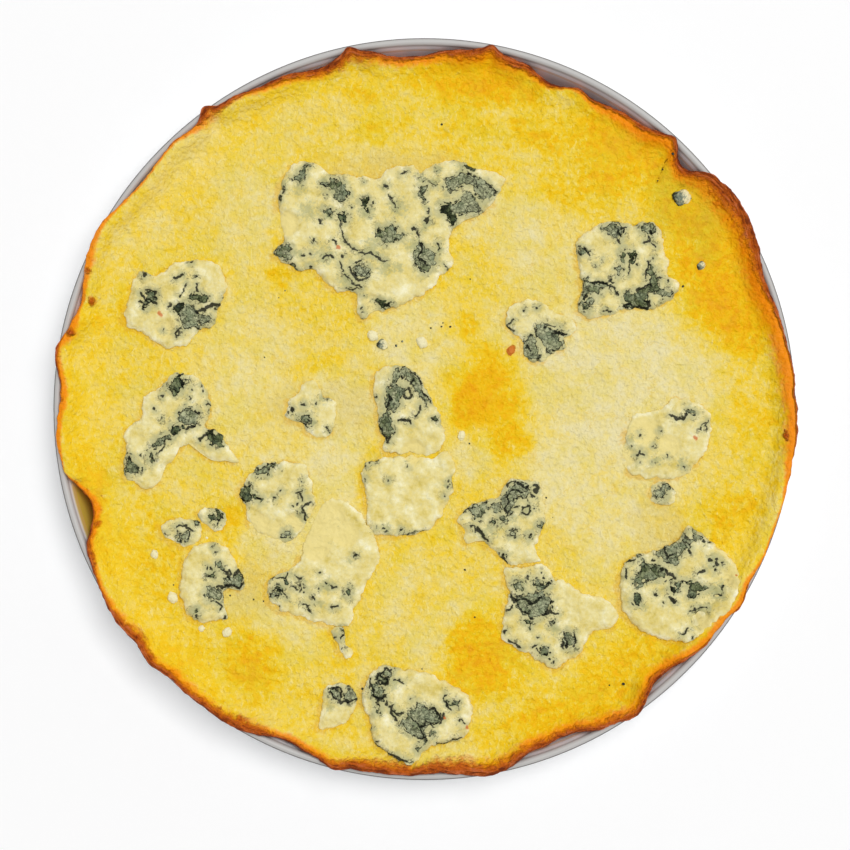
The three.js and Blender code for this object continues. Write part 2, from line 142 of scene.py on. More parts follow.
# A closed smooth curve through given points, resampled to evenly spaced points.
def smoothOutline(outline, count):
    corners = np.array(outline, float)
    steps = np.linspace(0, 1, curveSteps, endpoint=False)[:, None]
    curve = []
    for index in range(len(corners)):
        before, start, end, after = (corners[(index + step) % len(corners)] for step in (-1, 0, 1, 2))
        gapBefore, gap, gapAfter = (
            np.hypot(*(far - near)) ** .5 for near, far in ((before, start), (start, end), (end, after)))
        leaving = (start - before) / gapBefore - (end - before) / (gapBefore + gap) + (end - start) / gap
        arriving = (end - start) / gap - (after - start) / (gap + gapAfter) + (after - end) / gapAfter
        leaving, arriving = leaving * gap, arriving * gap
        curve.append(
            start + leaving * steps + (3 * (end - start) - 2 * leaving - arriving) * steps ** 2
            + (2 * (start - end) + leaving + arriving) * steps ** 3)
    curve = np.concatenate(curve)
    closed = np.vstack([curve, curve[:1]])
    travelled = np.concatenate([[0], np.cumsum(np.hypot(*np.diff(closed, axis=0).T))])
    wanted = np.linspace(0, travelled[-1], count, endpoint=False)
    return np.stack([np.interp(wanted, travelled, closed[:, axis]) for axis in (0, 1)], 1)


def outlineLength(outline):
    fine = smoothOutline(outline, measuringPoints)
    return np.hypot(*(np.roll(fine, -1, axis=0) - fine).T).sum()


def edgeRadius(azimuth):
    radius = np.full(azimuth.shape, float(pizza["edgeRadius"]))
    for centre, halfWidth, swell in edgeWaves:
        turn = (azimuth - centre + 180) % 360 - 180
        radius += swell * (1 + np.cos(np.pi * np.minimum(1, abs(turn) / halfWidth))) / 2
    return radius


def overLip(edge):
    wallTop = tin["lipRadius"] - 2 * tin["beadRadius"]
    return smoothStep(wallTop - pizza["overLipFrom"], wallTop - pizza["overLipTo"], edge)


def crestHeight(azimuth, edge):
    turn = np.radians(azimuth)
    uneven = .3 * np.sin(5 * turn + 1) + .25 * np.sin(11 * turn + 2.2)
    inside, onLip = pizza["crustTopInside"], pizza["crustTopOverLip"]
    return inside + (onLip - inside) * overLip(edge) + uneven


def azimuthOf(x, y):
    return np.degrees(np.arctan2(y, x)) % 360


def surfaceHeight(x, y):
    azimuth = azimuthOf(x, y)
    edge = edgeRadius(azimuth)
    broadSwell = .35 * np.sin(x / 17 + 1.3) * np.cos(y / 21 - .6)
    narrowSwell = .25 * np.sin((x + y) / 13 + .8)
    middle = pizza["middleTop"] + broadSwell + narrowSwell
    inwards = np.maximum(0, edge - np.hypot(x, y) - pizza["riseStart"]) / pizza["riseWidth"]
    return middle + (crestHeight(azimuth, edge) - middle) * np.exp(-inwards * inwards)


# Faces of a closed body through rings of points that run anticlockwise seen from above. Point 0 closes
# the bottom and the last point closes the top. A ring may have half the points of the one before it.
def bodyFaces(counts):
    starts = np.concatenate([[1], 1 + np.cumsum(counts)])
    index = np.arange(counts[0])
    parts = [np.stack([0 * index, 1 + (index + 1) % counts[0], 1 + index], 1)]
    for level in range(1, len(counts)):
        below, above = counts[level - 1], counts[level]
        index = np.arange(above)
        following = (index + 1) % above
        low, high = starts[level - 1], starts[level]
        if below == 2 * above:
            middle = low + 2 * index + 1
            parts.append(np.stack([low + 2 * index, middle, high + index], 1))
            parts.append(np.stack([middle, low + (2 * index + 2) % below, high + following], 1))
            parts.append(np.stack([middle, high + following, high + index], 1))
        else:
            parts.append(np.stack([low + index, low + following, high + following, high + index], 1))
    index = np.arange(counts[-1])
    top = starts[-1] + 0 * index
    parts.append(np.stack([starts[-2] + index, starts[-2] + (index + 1) % counts[-1], top], 1))
    return [face for part in parts for face in part.tolist()]


# Points of the rings, with a bottom and a top point, as one list.
def ringsToPoints(bottom, rings, top):
    return np.vstack([[bottom], *rings, [top]])


def meshPiece(name, points, faces, fields, material):
    mesh = bpy.data.meshes.new(name)
    mesh.from_pydata((points * millimetre).tolist(), [], faces)
    for field, values in fields.items():
        attribute = mesh.attributes.new(field, "FLOAT", "POINT")
        attribute.data.foreach_set("value", np.ascontiguousarray(values, np.float32))
    mesh.shade_smooth()
    mesh.materials.append(material)
    piece = bpy.data.objects.new(name, mesh)
    bpy.context.scene.collection.objects.link(piece)
    return piece
# Each blue cheese piece: thickness, outline, and its veins as seen from above.
# patches are tone and outline, where tone runs from 0 pale grey to 1 black. strokes are half width and line.
# dots are x, y and radius, and so are stains, which are soft, and rust.
cheesePieces = {
    "cheese_top_cluster": {
        "thickness": 2.2,
        "melted": [(-52, 70, 5), (-20, 40, 4)],
        "outline": [(-50, 92), (-43.7, 93.3), (-39.5, 92), (-37.4, 89.4), (-31.6, 88.8), (-25.4, 88.2),
        (-17, 87.4), (-14.2, 90.1), (-10.7, 91.8), (-6.5, 92.3), (-3.9, 91.6), (-1.6, 88.8), (.4, 90.9),
        (5, 92.9), (10.8, 94.1), (15.5, 93), (18.8, 90.9), (24.9, 90.1), (30.6, 87.4), (29.1, 83.9),
        (26.5, 79.2), (21.2, 73.8), (15.5, 71.2), (11, 67.8), (9.4, 65.8), (9.6, 62.6), (9.3, 60),
        (10.8, 56.6), (10.2, 53.8), (6.4, 50.8), (3.9, 46.8), (-.2, 43.6), (-4.9, 41), (-9.6, 38.8),
        (-14.9, 37.6), (-19.6, 36.4), (-23.2, 33.8), (-25.3, 36.6), (-25.2, 40.6), (-26, 43.8),
        (-32.7, 44.8), (-36.9, 47.2), (-39.8, 50.9), (-42.6, 52.9), (-48.2, 52.1), (-51, 54.6),
        (-56.8, 58.4), (-55.6, 61.4), (-53.6, 63.4), (-53.2, 67), (-54.5, 71.8), (-55.4, 77), (-54.6, 82.5),
        (-53.4, 87)],
        "patches": [(.5, [(-49.3, 86.7), (-44.3, 93), (-43.6, 92), (-46, 86)]), (.45, [(-57, 58.3),
        (-54.3, 62.7), (-50.7, 62), (-50, 60.7), (-50, 57.3), (-51.7, 56)]), (.6, [(-53, 54.3), (-50, 54.7),
        (-47.3, 51.7), (-48.7, 52.3)]), (.55, [(-39, 85.7), (-36.7, 84.7), (-35, 87.3), (-33.3, 86.3),
        (-30.7, 86), (-30, 83.3), (-28.3, 81), (-32, 78.3), (-33.7, 80), (-34.3, 82.3)]), (.6, [(-38, 75.3),
        (-35.2, 75), (-35, 72.5), (-37, 72.5)]), (.85, [(-33, 74.3), (-29.5, 74), (-29.5, 71),
        (-31.5, 70.7)]), (.9, [(-24, 79), (-21.5, 79.7), (-20.7, 77.5), (-23.5, 76.5)]), (1, [(-22.7, 76.3),
        (-21, 76), (-21, 74), (-22.3, 74.3)]), (.5, [(-18, 65.3), (-17.7, 68.7), (-16, 67.7), (-13.3, 69.7),
        (-10, 68.7), (-11, 67), (-8, 65.7), (-8.3, 64.7), (-14.7, 62.3)]), (.05, [(-27.3, 54.7), (-24, 55),
        (-20.7, 53), (-21.5, 50), (-26, 50.5)]), (.4, [(-4.3, 58.3), (-1.7, 62.7), (3.7, 58.7), (4.3, 55.7),
        (2.7, 53), (.3, 51.7), (-1.3, 52), (-3.7, 56)]), (.9, [(-18.7, 41.3), (-16.7, 41.7), (-12.3, 39.7),
        (-13.3, 38), (-16, 38.3)]), (.3, [(7.7, 83.7), (9, 87.3), (11.3, 87.7), (14, 89.3), (16.7, 89),
        (19.7, 87.7), (23.3, 85.7), (26.7, 82.3), (25.7, 80), (22.7, 78.7), (20, 79.3), (18.7, 84.3),
        (15.3, 85), (10, 81.7)]), (.3, [(10.3, 77.3), (13.3, 79.3), (16, 82.3), (19.3, 79.7), (21, 73.7),
        (18.3, 74), (11, 73.3)]), (.95, [(5.3, 75), (6, 77), (9.3, 78), (10.3, 76.7), (10.7, 74.3),
        (12.3, 72.7), (12, 70.7), (10.7, 69), (8.3, 72.7), (6.7, 73.3)]), (.9, [(13.7, 93.4), (18.6, 90.9),
        (18, 89.7), (14.2, 92.2)]), (.5, [(-2, 84), (.7, 84.3), (-.3, 81.3), (.3, 78), (-2, 81.3)])],
        "strokes": [(.45, [(-54.6, 78.8), (-54.3, 80.8)]), (.35, [(-53.5, 81.5), (-53, 84)]),
        (.3, [(-13.3, 80.7), (-11, 76.7)]), (.3, [(-9, 88.3), (-6.7, 89.8)]), (.45, [(-34.7, 64),
        (-33, 62)]), (.3, [(-31.7, 70.7), (-30.3, 63.3), (-25.3, 59.7)]), (.4, [(-2.7, 67.3), (-2, 65.3)]),
        (.35, [(-29.7, 50.3), (-26.7, 47.3), (-23.7, 46)]), (.4, [(-28.3, 53.3), (-25.3, 48.7),
        (-21.7, 49)]), (.3, [(-30, 45.3), (-25, 45.3)]), (.3, [(-26, 55.3), (-24.3, 55.9)]),
        (.35, [(-38.7, 56.7), (-36.3, 58), (-34.3, 57.5)]), (.35, [(-32, 55.7), (-30.7, 52)]),
        (.35, [(-24.7, 58.7), (-20, 58.7), (-14.7, 56)]), (.35, [(-1.3, 62.7), (-1, 60), (-2.7, 57.3),
        (1.3, 54.7)]), (.3, [(5, 62.7), (5.7, 60)]), (.25, [(7.3, 54.7), (9, 52.7)]), (.3, [(18.7, 88.3),
        (20, 84)]), (.3, [(23, 86), (26.7, 81.7)]), (.3, [(1.3, 86), (4, 84.5)]), (.3, [(1, 75.7),
        (1.7, 74)])],
        "dots": [(-42, 63.7, .6), (-45.7, 58, .7), (-42.9, 58.7, .6), (-43.3, 53.5, .6), (-39.3, 70.7, .8),
        (-19.3, 77.9, .45), (-23.1, 85.8, .35), (-14.4, 84.3, .9), (-4, 68, .8), (.7, 71, 1),
        (-27.8, 76.2, .5), (-29, 80.7, .6), (-37, 80.5, .35), (-11, 67.7, .5), (-17.3, 67.3, .5),
        (-31, 57.7, .8), (-23.3, 42.3, .4), (-23.7, 38.3, .4), (-23.3, 36.3, .4), (-23.7, 34, .4),
        (19.3, 81, .6), (14.3, 73.7, .4), (-2.3, 87.7, .35), (-.3, 86.1, .35), (4.7, 90, .4),
        (10.9, 94.2, .35)],
        "stains": [(-44, 75, 6), (-10, 76, 6), (-20, 61, 6), (-38, 58, 6), (-29, 49, 6), (-15, 53, 5),
        (-4, 62, 5), (-47, 83, 4), (-22, 74, 5), (-54, 86, 4), (-47, 58.5, 3), (-38, 86, 3), (-33, 83, 4),
        (-36, 73, 2.5), (-15, 84, 2.5), (-14, 67, 4), (0, 69, 3), (-25, 52, 3.5), (-10, 53.5, 3),
        (0, 57, 4.5), (6, 60.5, 3), (-15.5, 39.5, 3), (-1, 87, 3), (4, 86, 3), (5, 90.5, 3), (14, 91, 3),
        (17, 79, 5)],
        "rust": [(-32.7, 61, .7)],
    },
    "cheese_upper_right": {
        "thickness": 2.2,
        "outline": [(60, 66.3), (66, 69.8), (72, 70.9), (79, 70), (86, 70.6), (89.8, 67), (90, 60),
        (92.4, 55), (91.8, 51), (96.8, 47), (94, 42.5), (87, 38.2), (76, 37.9), (68, 35), (60, 35.3),
        (57.8, 38.5), (59.4, 45), (58.9, 53), (57.2, 61)],
        "patches": [(.35, [(67, 69), (68.7, 69.2), (71.2, 70.8), (72.8, 70), (74.9, 68.1), (74.5, 65),
        (72, 64.8), (68.3, 67.1)]), (.4, [(80.1, 69.6), (84.9, 69.6), (85.8, 70.8), (87.2, 70), (87, 67.5),
        (85.8, 65), (84.7, 65.2), (84.3, 66.5), (82, 67.1)]), (.6, [(58, 60.4), (60.8, 60.6), (62, 59.2),
        (58.3, 58.3)]), (.7, [(73.9, 59.8), (75.3, 59.8), (75.8, 58.3), (75.3, 55.4), (74.5, 55.8)]),
        (.85, [(77.4, 58.8), (78.7, 59.6), (79.7, 58.3), (78.7, 55.2), (77.4, 55.4)]), (.3, [(72.4, 53.3),
        (74.1, 53.8), (75.1, 52.9), (73, 49.8)]), (.4, [(59.7, 48.5), (61.8, 50), (62.8, 47.5), (67.8, 47.7),
        (70.3, 46.7), (69.5, 45.8), (66.2, 45.8), (66.6, 44.2), (65.3, 42.9), (62, 44.2), (61, 42.1),
        (59.9, 41.7), (60.3, 47.5)]), (.4, [(61.4, 42.1), (63.3, 42.7), (63.9, 41.3), (63, 40.2),
        (61.4, 40.4)]), (.5, [(58.3, 39.2), (60.3, 40.2), (62.6, 39.2), (62, 36.7), (60.3, 36.5)]),
        (.6, [(75.1, 41.7), (76.6, 43.8), (79.1, 44.2), (85.3, 47.5), (85.3, 50), (84.1, 51.7), (84.7, 54.6),
        (87, 52.5), (89.5, 45), (88.7, 43.8), (84.5, 44.2), (84.1, 42.5), (84.9, 38.3), (83.3, 37.5),
        (81.2, 38.3), (75.3, 38.3), (76.2, 40)]), (1, [(86.2, 46.7), (88.3, 47.5), (89.1, 45.4),
        (88.7, 44.2), (87, 44.4), (86, 45.4)]), (.45, [(88.7, 44.2), (91.2, 45), (93.9, 43.8),
        (89.5, 41.7)])],
        "strokes": [(.3, [(72, 68.8), (74.1, 65)]), (.3, [(72.2, 64.6), (73.7, 62.9)]), (.4, [(74.1, 68.1),
        (76, 68.5)]), (.4, [(85.6, 67.1), (86, 65.8)]), (.35, [(84.7, 65), (84.7, 63.7)]), (.4, [(83, 63.1),
        (84.5, 63.5), (86.8, 61.5)]), (.35, [(61, 60.2), (62.6, 57.9)]), (.35, [(62.4, 47.5), (64.9, 47.9),
        (68.3, 47.5), (71.6, 45.8), (73, 43.3)]), (.4, [(70.3, 49.8), (69.9, 48.3), (71.4, 47.7)]),
        (.4, [(59.7, 41.7), (61, 42.5)]), (.3, [(67.6, 37.3), (70.5, 36.6)]), (.35, [(75.1, 38.8),
        (77, 39.2), (79.5, 38.3), (81.2, 38.8)]), (.5, [(82, 38.3), (83.7, 37.7), (84.9, 38.8), (84.7, 40.8),
        (83.3, 40.4)]), (.4, [(80.3, 45), (85.3, 47.1)]), (.4, [(83.3, 49.6), (84.7, 55.4)]),
        (.25, [(77.4, 55), (77.2, 50.8)])],
        "dots": [(58.7, 61, .5), (60.5, 60.7, .4), (76, 59.9, .4), (79.3, 58.3, .4), (60.8, 40.4, .5),
        (67, 56.4, .35), (64.7, 53.9, .35), (80.3, 54.2, .45), (86.2, 56.7, .6), (88.7, 49.6, .5),
        (92, 48.3, .5)],
    },
    "cheese_upper_right_small": {
        "thickness": 1.6,
        "outline": [(31, 35), (33, 39.3), (39, 41.2), (45, 40.2), (49.5, 36.2), (54, 35), (57.8, 32),
        (56, 28.6), (53, 26.8), (52.8, 23.2), (48.5, 21.3), (45.5, 18.5), (41, 17.8), (38, 20.5), (37, 25.5),
        (33.5, 29), (30.8, 31.5)],
        "patches": [(.3, [(42.3, 31.5), (44.6, 32.5), (46.5, 31.7), (46.9, 30.4), (48.5, 29.2), (51.5, 30),
        (53.1, 28.1), (51.2, 27.3), (52.7, 25), (52.3, 23.1), (50.4, 22.1), (46.9, 21.5), (44.2, 26.2),
        (41.5, 28.1)]), (.35, [(39.2, 27.3), (41.5, 28.1), (43.3, 21.9), (43.3, 18.5), (38.5, 18.5),
        (37.1, 23.1), (37.7, 25.8)])],
        "strokes": [(.35, [(33.3, 33.8), (31.5, 31.9), (31.3, 30.8), (33.5, 29.2)]), (.3, [(46.5, 31.5),
        (49.6, 31.5)]), (.35, [(48.5, 29.2), (53.1, 28.1)]), (.4, [(41.7, 30), (42.3, 27.7)]),
        (.3, [(38.7, 24.2), (40.2, 21.5)])],
        "dots": [(45.4, 30.8, .5), (38, 37.2, .6), (42.2, 38.1, .6)],
    },
    "cheese_left_upper": {
        "thickness": 2.2,
        "melted": [(-104, 42, 4), (-98, 30, 4)],
        "outline": [(-107.5, 52), (-101, 50.3), (-96, 54.8), (-88, 55.9), (-80, 56), (-75.6, 51),
        (-75.3, 44), (-78.5, 37), (-80.5, 31), (-86, 29.8), (-89, 25.3), (-95, 23.2), (-101, 24.5),
        (-106.5, 29), (-112.8, 31.5), (-111.8, 42)],
        "patches": [(.6, [(-105, 44.8), (-101.8, 44.3), (-101.4, 42.7), (-101.8, 40.5), (-104.1, 39.8),
        (-105.5, 38.2), (-106.6, 39.3), (-105, 41.4)]), (1, [(-95.2, 39.1), (-90.9, 40.7), (-90.5, 40),
        (-92.3, 35), (-94.8, 37.5)]), (.35, [(-90.5, 40), (-88.2, 39.5), (-85.5, 37.3), (-84.1, 35.2),
        (-81.1, 35.2), (-80.9, 33.6), (-83.6, 31.4), (-85.5, 34.5), (-85, 30.5), (-86.8, 31.8),
        (-88.2, 30.9), (-90.5, 30.7), (-92.3, 35)]), (.8, [(-88.6, 41.6), (-87.5, 44.1), (-81.4, 42),
        (-82.7, 40)])],
        "strokes": [(.4, [(-107, 43.6), (-104.3, 39.8)]), (.4, [(-107.7, 40.5), (-106.4, 39.8),
        (-105.9, 38)]), (.35, [(-105, 45), (-101.4, 44.1), (-101.6, 42.3)]), (.4, [(-104.5, 41.8),
        (-100.9, 39.5)]), (.5, [(-94.5, 49.2), (-92.9, 49.5), (-91.7, 50.5)]), (.25, [(-89.6, 47.7),
        (-90.9, 44.5), (-92.7, 42.7)]), (.4, [(-86.4, 47), (-85.7, 45)]), (.6, [(-86.1, 36.6), (-80, 39.3),
        (-77.5, 39.5)]), (.35, [(-92.7, 30.2), (-93.9, 28.6), (-93.6, 27.3), (-92.5, 27.5), (-92.5, 29.1)]),
        (.35, [(-88.4, 55.4), (-88, 55.6)])],
        "dots": [(-86.1, 50.2, .4), (-76.1, 42.3, .45), (-98.6, 30, .4), (-96.1, 39.1, .5),
        (-105.7, 50.5, .9), (-78.9, 38.2, .5)],
        "stains": [(-78.5, 33, 2.5)],
        "rust": [(-100, 35.9, .8)],
    },
    "cheese_left_middle": {
        "thickness": 2,
        "outline": [(-99.5, 8.5), (-96, 12.7), (-90, 13.5), (-85, 11), (-81.5, 5), (-80.6, -1),
        (-82.6, -5.6), (-82, -7.6), (-79, -7.6), (-76.6, -10), (-74, -14.5), (-69.6, -20.3), (-75, -19.6),
        (-80, -19.3), (-84.6, -16.6), (-87.6, -13.6), (-91, -13.6), (-95.5, -19.5), (-99.5, -22.5),
        (-99.8, -27), (-104.5, -30), (-109, -28), (-113.5, -25), (-113, -16), (-113.3, -8.5), (-107.5, -3.5),
        (-106, 4)],
        "patches": [(.75, [(-94.8, 11.8), (-92.7, 12.5), (-91.1, 11.4), (-90.9, 8.2), (-92.7, 5.9),
        (-94.1, 5.5), (-97.7, 9.1), (-95, 9.5)]), (.35, [(-90, .9), (-86.1, -.5), (-85, -1.8), (-86.4, -6.4),
        (-92.7, -5), (-93, -3.6)]), (1, [(-95.5, -6.4), (-92.7, -6.4), (-90.7, -5.7), (-92.3, -8.6),
        (-94.1, -10), (-95.7, -9.5)]), (.5, [(-95.5, -10), (-97.7, -10), (-100.9, -11.4), (-102.5, -12.3),
        (-103, -13.9), (-100.5, -14.5), (-97.7, -11.8), (-96.4, -11.4)]), (.6, [(-104.8, -16.1),
        (-103.2, -15.7), (-101.6, -16.4), (-101.8, -19.1), (-103.2, -20.5)]), (.55, [(-113, -16.4),
        (-110.9, -17.3), (-110.2, -19.5), (-108.2, -20.7), (-107, -22.3), (-107.5, -23.6), (-113.2, -24.5),
        (-113.9, -23.6), (-112.5, -21.8), (-112.3, -19.5)]), (.85, [(-82, -8.4), (-80.7, -7.3),
        (-79.3, -7.5), (-78.9, -9.5), (-77, -9.5), (-76.1, -11.4), (-76.6, -13.6), (-77.7, -14.3),
        (-78.6, -13.2), (-80.5, -13.4), (-80.9, -11.8), (-82.3, -10.5)])],
        "strokes": [(.4, [(-93.2, 12.3), (-91.4, 13.4)]), (.4, [(-94.5, 7.3), (-93.9, 6.8)]),
        (.35, [(-91.6, 11.4), (-91.1, 8.4)]), (.3, [(-90.9, 11.6), (-89.1, 10.9)]), (.45, [(-86.6, -.5),
        (-85, -1.8)]), (.4, [(-90.2, -8), (-88.6, -6.6), (-86.4, -6.4)]), (.35, [(-100.5, -16.4),
        (-98.6, -14.5), (-97.7, -11.8)]), (.35, [(-81.8, 2), (-80.5, 1.6)]), (.5, [(-84.8, -11.4),
        (-82.3, -9.5)])],
        "dots": [(-107, -17.2, .55), (-98.4, 10.4, .5), (-98.9, 4.9, .6), (-87.7, 7.7, .4),
        (-88.6, 4.6, .35), (-88.2, 3.4, .4), (-83.6, 6.6, .5), (-84.3, 8.9, .35), (-80.5, .1, .5),
        (-99.3, -3.4, .4), (-102, 0, .6), (-109.8, -3.5, .5)],
    },
    "cheese_centre_left": {
        "thickness": 1.6,
        "outline": [(-46, 9.5), (-42.5, 10.9), (-39.8, 9), (-38.3, 5.5), (-34, 2.8), (-33.8, -3),
        (-35.3, -9.5), (-39.5, -10.8), (-44, -8.8), (-47, -5.3), (-52, -3), (-51.3, 3.3), (-47.6, 6)],
        "patches": [(.38, [(-47.3, -2.2), (-44.5, -2.2), (-43, -3.5), (-42.6, -5.2), (-44.5, -5.7),
        (-47.2, -5)]), (.95, [(-44.6, -2.2), (-43.5, -2.6), (-43, -3.8), (-44, -3.8)])],
        "strokes": [(.35, [(-47.3, -4.8), (-46.4, -6.1), (-45.6, -5.7)]), (.3, [(-45, -5.7), (-43.6, -7.2)]),
        (.3, [(-37.9, 5.2), (-36.4, 4.2)]), (.3, [(-37, -7), (-35.8, -8.8)])],
        "dots": [(-42.3, -6.2, .4), (-50, -.4, .6), (-50.3, .4, .5), (-51.6, -1.6, .5), (-45.6, 1.6, .7),
        (-41, 2.2, .45)],
        "stains": [(-38.3, 4, 1.6), (-42, -5, 2)],
    },
    "cheese_centre_vein": {
        "thickness": 2,
        "outline": [(-18.6, 13.5), (-15, 16.2), (-7.5, 16.2), (-2, 12.5), (1, 6.5), (4.5, 0), (6.2, -4.5),
        (7.6, -9.5), (6.2, -14), (2.2, -17.3), (-5, -16.6), (-12.5, -16.4), (-15.6, -14.4), (-15, -11.6),
        (-17.2, -7), (-17.4, -2), (-18.8, 4)],
        "patches": [(.4, [(-15.2, 10), (-14.5, 8.4), (-12.3, 8.6), (-12.3, 11.4), (-11, 13.4), (-11, 15.2),
        (-10, 15.7), (-9.5, 14.1), (-7.3, 16.1), (-5.5, 14.1), (-3.6, 13.6), (-2.3, 11.8), (-1.4, 9.5),
        (-1.4, 7.3), (2.5, 2.3), (.5, 1.6), (-.5, 4.1), (-4.1, 7), (-3.6, 9.1), (-6.4, 10), (-6.4, 11.8),
        (-8.2, 12.7), (-10, 11.4), (-10.5, 9.5), (-6.8, 8.6), (-9.5, 1.4), (-11.4, -.5), (-14.3, -.5),
        (-15.2, 2.3), (-14.5, 5.9)]), (.55, [(-15.5, -1.8), (-13.2, -1.1), (-11.6, -7.3), (-12.3, -10.9),
        (-14.1, -12.3), (-17.5, -5.9)]), (.8, [(3, -3.9), (4.8, -2.7), (6.1, -3.9), (5, -4.8)])],
        "strokes": [(.45, [(-13.2, 5.5), (-12.7, 3.2), (-13.9, 1.4)]), (.5, [(-8.2, 5), (-6.8, 4.1),
        (-4.5, 5.2)]), (.4, [(-7.5, 6.8), (-5.9, 7.7), (-5, 6.4)]), (.5, [(-5.5, 9.5), (-4.1, 10.9)]),
        (.3, [(-5.5, 14.1), (-2.7, 12.7), (-1.4, 9.5)]), (.3, [(-1.4, 7.3), (2.5, 2.3)]),
        (.35, [(-17.5, -5.9), (-14, -12.3), (-12.5, -11.1)]), (.5, [(-10, -4.1), (-8.2, -3.9),
        (-5.5, -4.8)]), (.4, [(-2, 1.4), (-1.4, .2), (-2, -1.4), (-4.1, -2.5)])],
        "dots": [(-18.6, 4.4, .5), (-8.6, 11.8, .4), (-7.3, 11.4, .4)],
        "stains": [(-17.3, -10.5, 2)],
    },
    "cheese_centre_plain": {
        "thickness": 2.2,
        "melted": [(-4, -16, 5), (8, -38, 3)],
        "outline": [(-23, -21.5), (-15, -18.4), (-5, -17.8), (3, -18.6), (7.6, -15.8), (11.5, -22.5),
        (10.4, -27), (10.8, -31), (8.6, -35), (7.8, -38), (2.6, -44.8), (-9, -48), (-15, -47.6),
        (-18.5, -47.2), (-21.6, -44), (-21.4, -41), (-21.5, -34), (-23.6, -27)],
        "strokes": [(.35, [(-20.8, -20.2), (-18.5, -19.2)]), (.2, [(-8.3, -47.6), (-.3, -46)])],
        "dots": [(-22.3, -21.5, .45), (-6.2, -21.5, .35), (9.3, -27, .4), (9.1, -29.3, .4), (8, -32.7, .4),
        (-22.6, -26.7, .35), (-18.3, -44.5, .4), (-15.3, -45, .45), (-14, -46, .5), (-9, -45.8, .45),
        (-13.7, -26.7, .35)],
        "stains": [(-14, -45, 3), (8, -29, 2)],
    },
    "cheese_left_centre": {
        "thickness": 1.8,
        "melted": [(-56, -48, 6), (-62, -43, 4), (-49, -43, 4)],
        "outline": [(-66, -25), (-63, -21), (-57, -20.2), (-46, -21.2), (-42.5, -29), (-41.5, -37),
        (-44.5, -43), (-51, -50), (-58.5, -48), (-66, -43), (-67.6, -37), (-70, -32.5), (-68.5, -28.5)],
        "patches": [(.4, [(-65, -23), (-59.7, -21.3), (-59, -20), (-56.3, -20), (-55.3, -21.7),
        (-57.7, -22.3), (-59.7, -24.7), (-63.7, -25)]), (.75, [(-69.7, -29.7), (-68.3, -30), (-66.3, -28.7),
        (-65, -30.3), (-65, -32), (-62.3, -33), (-61, -34.3), (-62.3, -35), (-65, -33), (-67.7, -35.3),
        (-68.7, -35)]), (.12, [(-54.3, -47.8), (-53, -46.2), (-51, -45.8), (-50, -47), (-51, -48.8)])],
        "strokes": [(.4, [(-59, -20.3), (-56.3, -20.3)]), (.6, [(-69, -33.7), (-68.3, -34.7)]),
        (.25, [(-48.7, -32), (-46.3, -30.5)]), (.4, [(-47.3, -31.7), (-46.3, -34.3)]), (.4, [(-45, -41.7),
        (-45.7, -37), (-43, -35)])],
        "dots": [(-63, -22.6, .5), (-62.7, -34, .5), (-66.3, -28.9, .5), (-56.7, -33.7, .5),
        (-54.3, -30.7, .45), (-46, -27.3, .45), (-50, -36.9, .5), (-48, -35.8, .5), (-48, -38.7, .35),
        (-46.3, -39, .4)],
        "stains": [(-51.7, -47.3, 3.2), (-46, -40, 4), (-66, -32, 3)],
    },
    "cheese_lower_centre": {
        "thickness": 1.7,
        "melted": [(-37, -42, 9), (-41, -51, 7), (-30, -47, 6)],
        "outline": [(-59, -65), (-56, -62.6), (-51, -60.8), (-47.4, -57.6), (-45.8, -51), (-43.2, -45.4),
        (-40, -38.4), (-37.2, -34.6), (-31, -34.4), (-25.4, -38), (-20.6, -44.6), (-17, -53), (-18, -59.6),
        (-21.4, -65.4), (-23.8, -71), (-26.8, -75.6), (-27.2, -80.2), (-31, -82), (-38, -81), (-46, -78.5),
        (-54.5, -75.5), (-59.8, -70.5)],
        "patches": [(.3, [(-57.8, -69.2), (-54.8, -68.9), (-53.5, -70), (-57.3, -71)]), (.6, [(-56.2, -66.3),
        (-54.5, -66.5), (-53.6, -68), (-54.2, -69), (-55.5, -68.8), (-56.2, -67.8)]), (.9, [(-52.6, -64.2),
        (-51.6, -64), (-51.6, -65.6), (-52.8, -65.9)]), (.75, [(-30.2, -69.2), (-28.6, -67.4),
        (-27.6, -69.7), (-28, -71.2)])],
        "strokes": [(.3, [(-58.8, -70.8), (-56.5, -68.5), (-55.7, -66)]), (.3, [(-55.5, -68.2), (-54.3, -68),
        (-51.9, -71.3)]), (.35, [(-51.8, -64.2), (-51.3, -62.3)]), (.35, [(-48.9, -62.8), (-48.4, -64),
        (-47.2, -64.3)]), (.25, [(-59, -64.5), (-57, -63.6), (-53, -63.8)]), (.3, [(-49.9, -67.2),
        (-48.8, -67), (-48.4, -68.3)]), (.35, [(-47.2, -66.3), (-46.9, -67.5), (-47.4, -68.7)]),
        (.3, [(-45.7, -66.2), (-45.4, -67.5), (-44.7, -67.6)]), (.25, [(-42.6, -70), (-41.5, -72.5)]),
        (.3, [(-35.5, -66.6), (-33.4, -67.4)]), (.4, [(-35, -75), (-33.2, -74.4)]), (.35, [(-46.2, -73.3),
        (-45, -73.5), (-43.8, -74.6)]), (.3, [(-44.5, -75), (-42.4, -77.2)])],
        "dots": [(-45.5, -69.2, .4), (-55.5, -70.8, .4), (-39.6, -61.8, .5), (-37.2, -65.7, .6),
        (-40.2, -67.6, .4), (-54.7, -74.4, .4), (-26, -55.2, .45)],
        "stains": [(-39.3, -73.8, 2.6), (-53, -63.5, 3), (-55, -68, 4), (-37, -67, 4), (-28, -57, 2.5)],
    },
    "cheese_lower_tail": {
        "thickness": 1.4,
        "outline": [(-35.5, -83.5), (-31, -82.8), (-30, -86), (-29.6, -89.2), (-27, -91.5), (-29.5, -94.6),
        (-32, -91), (-33.8, -87)],
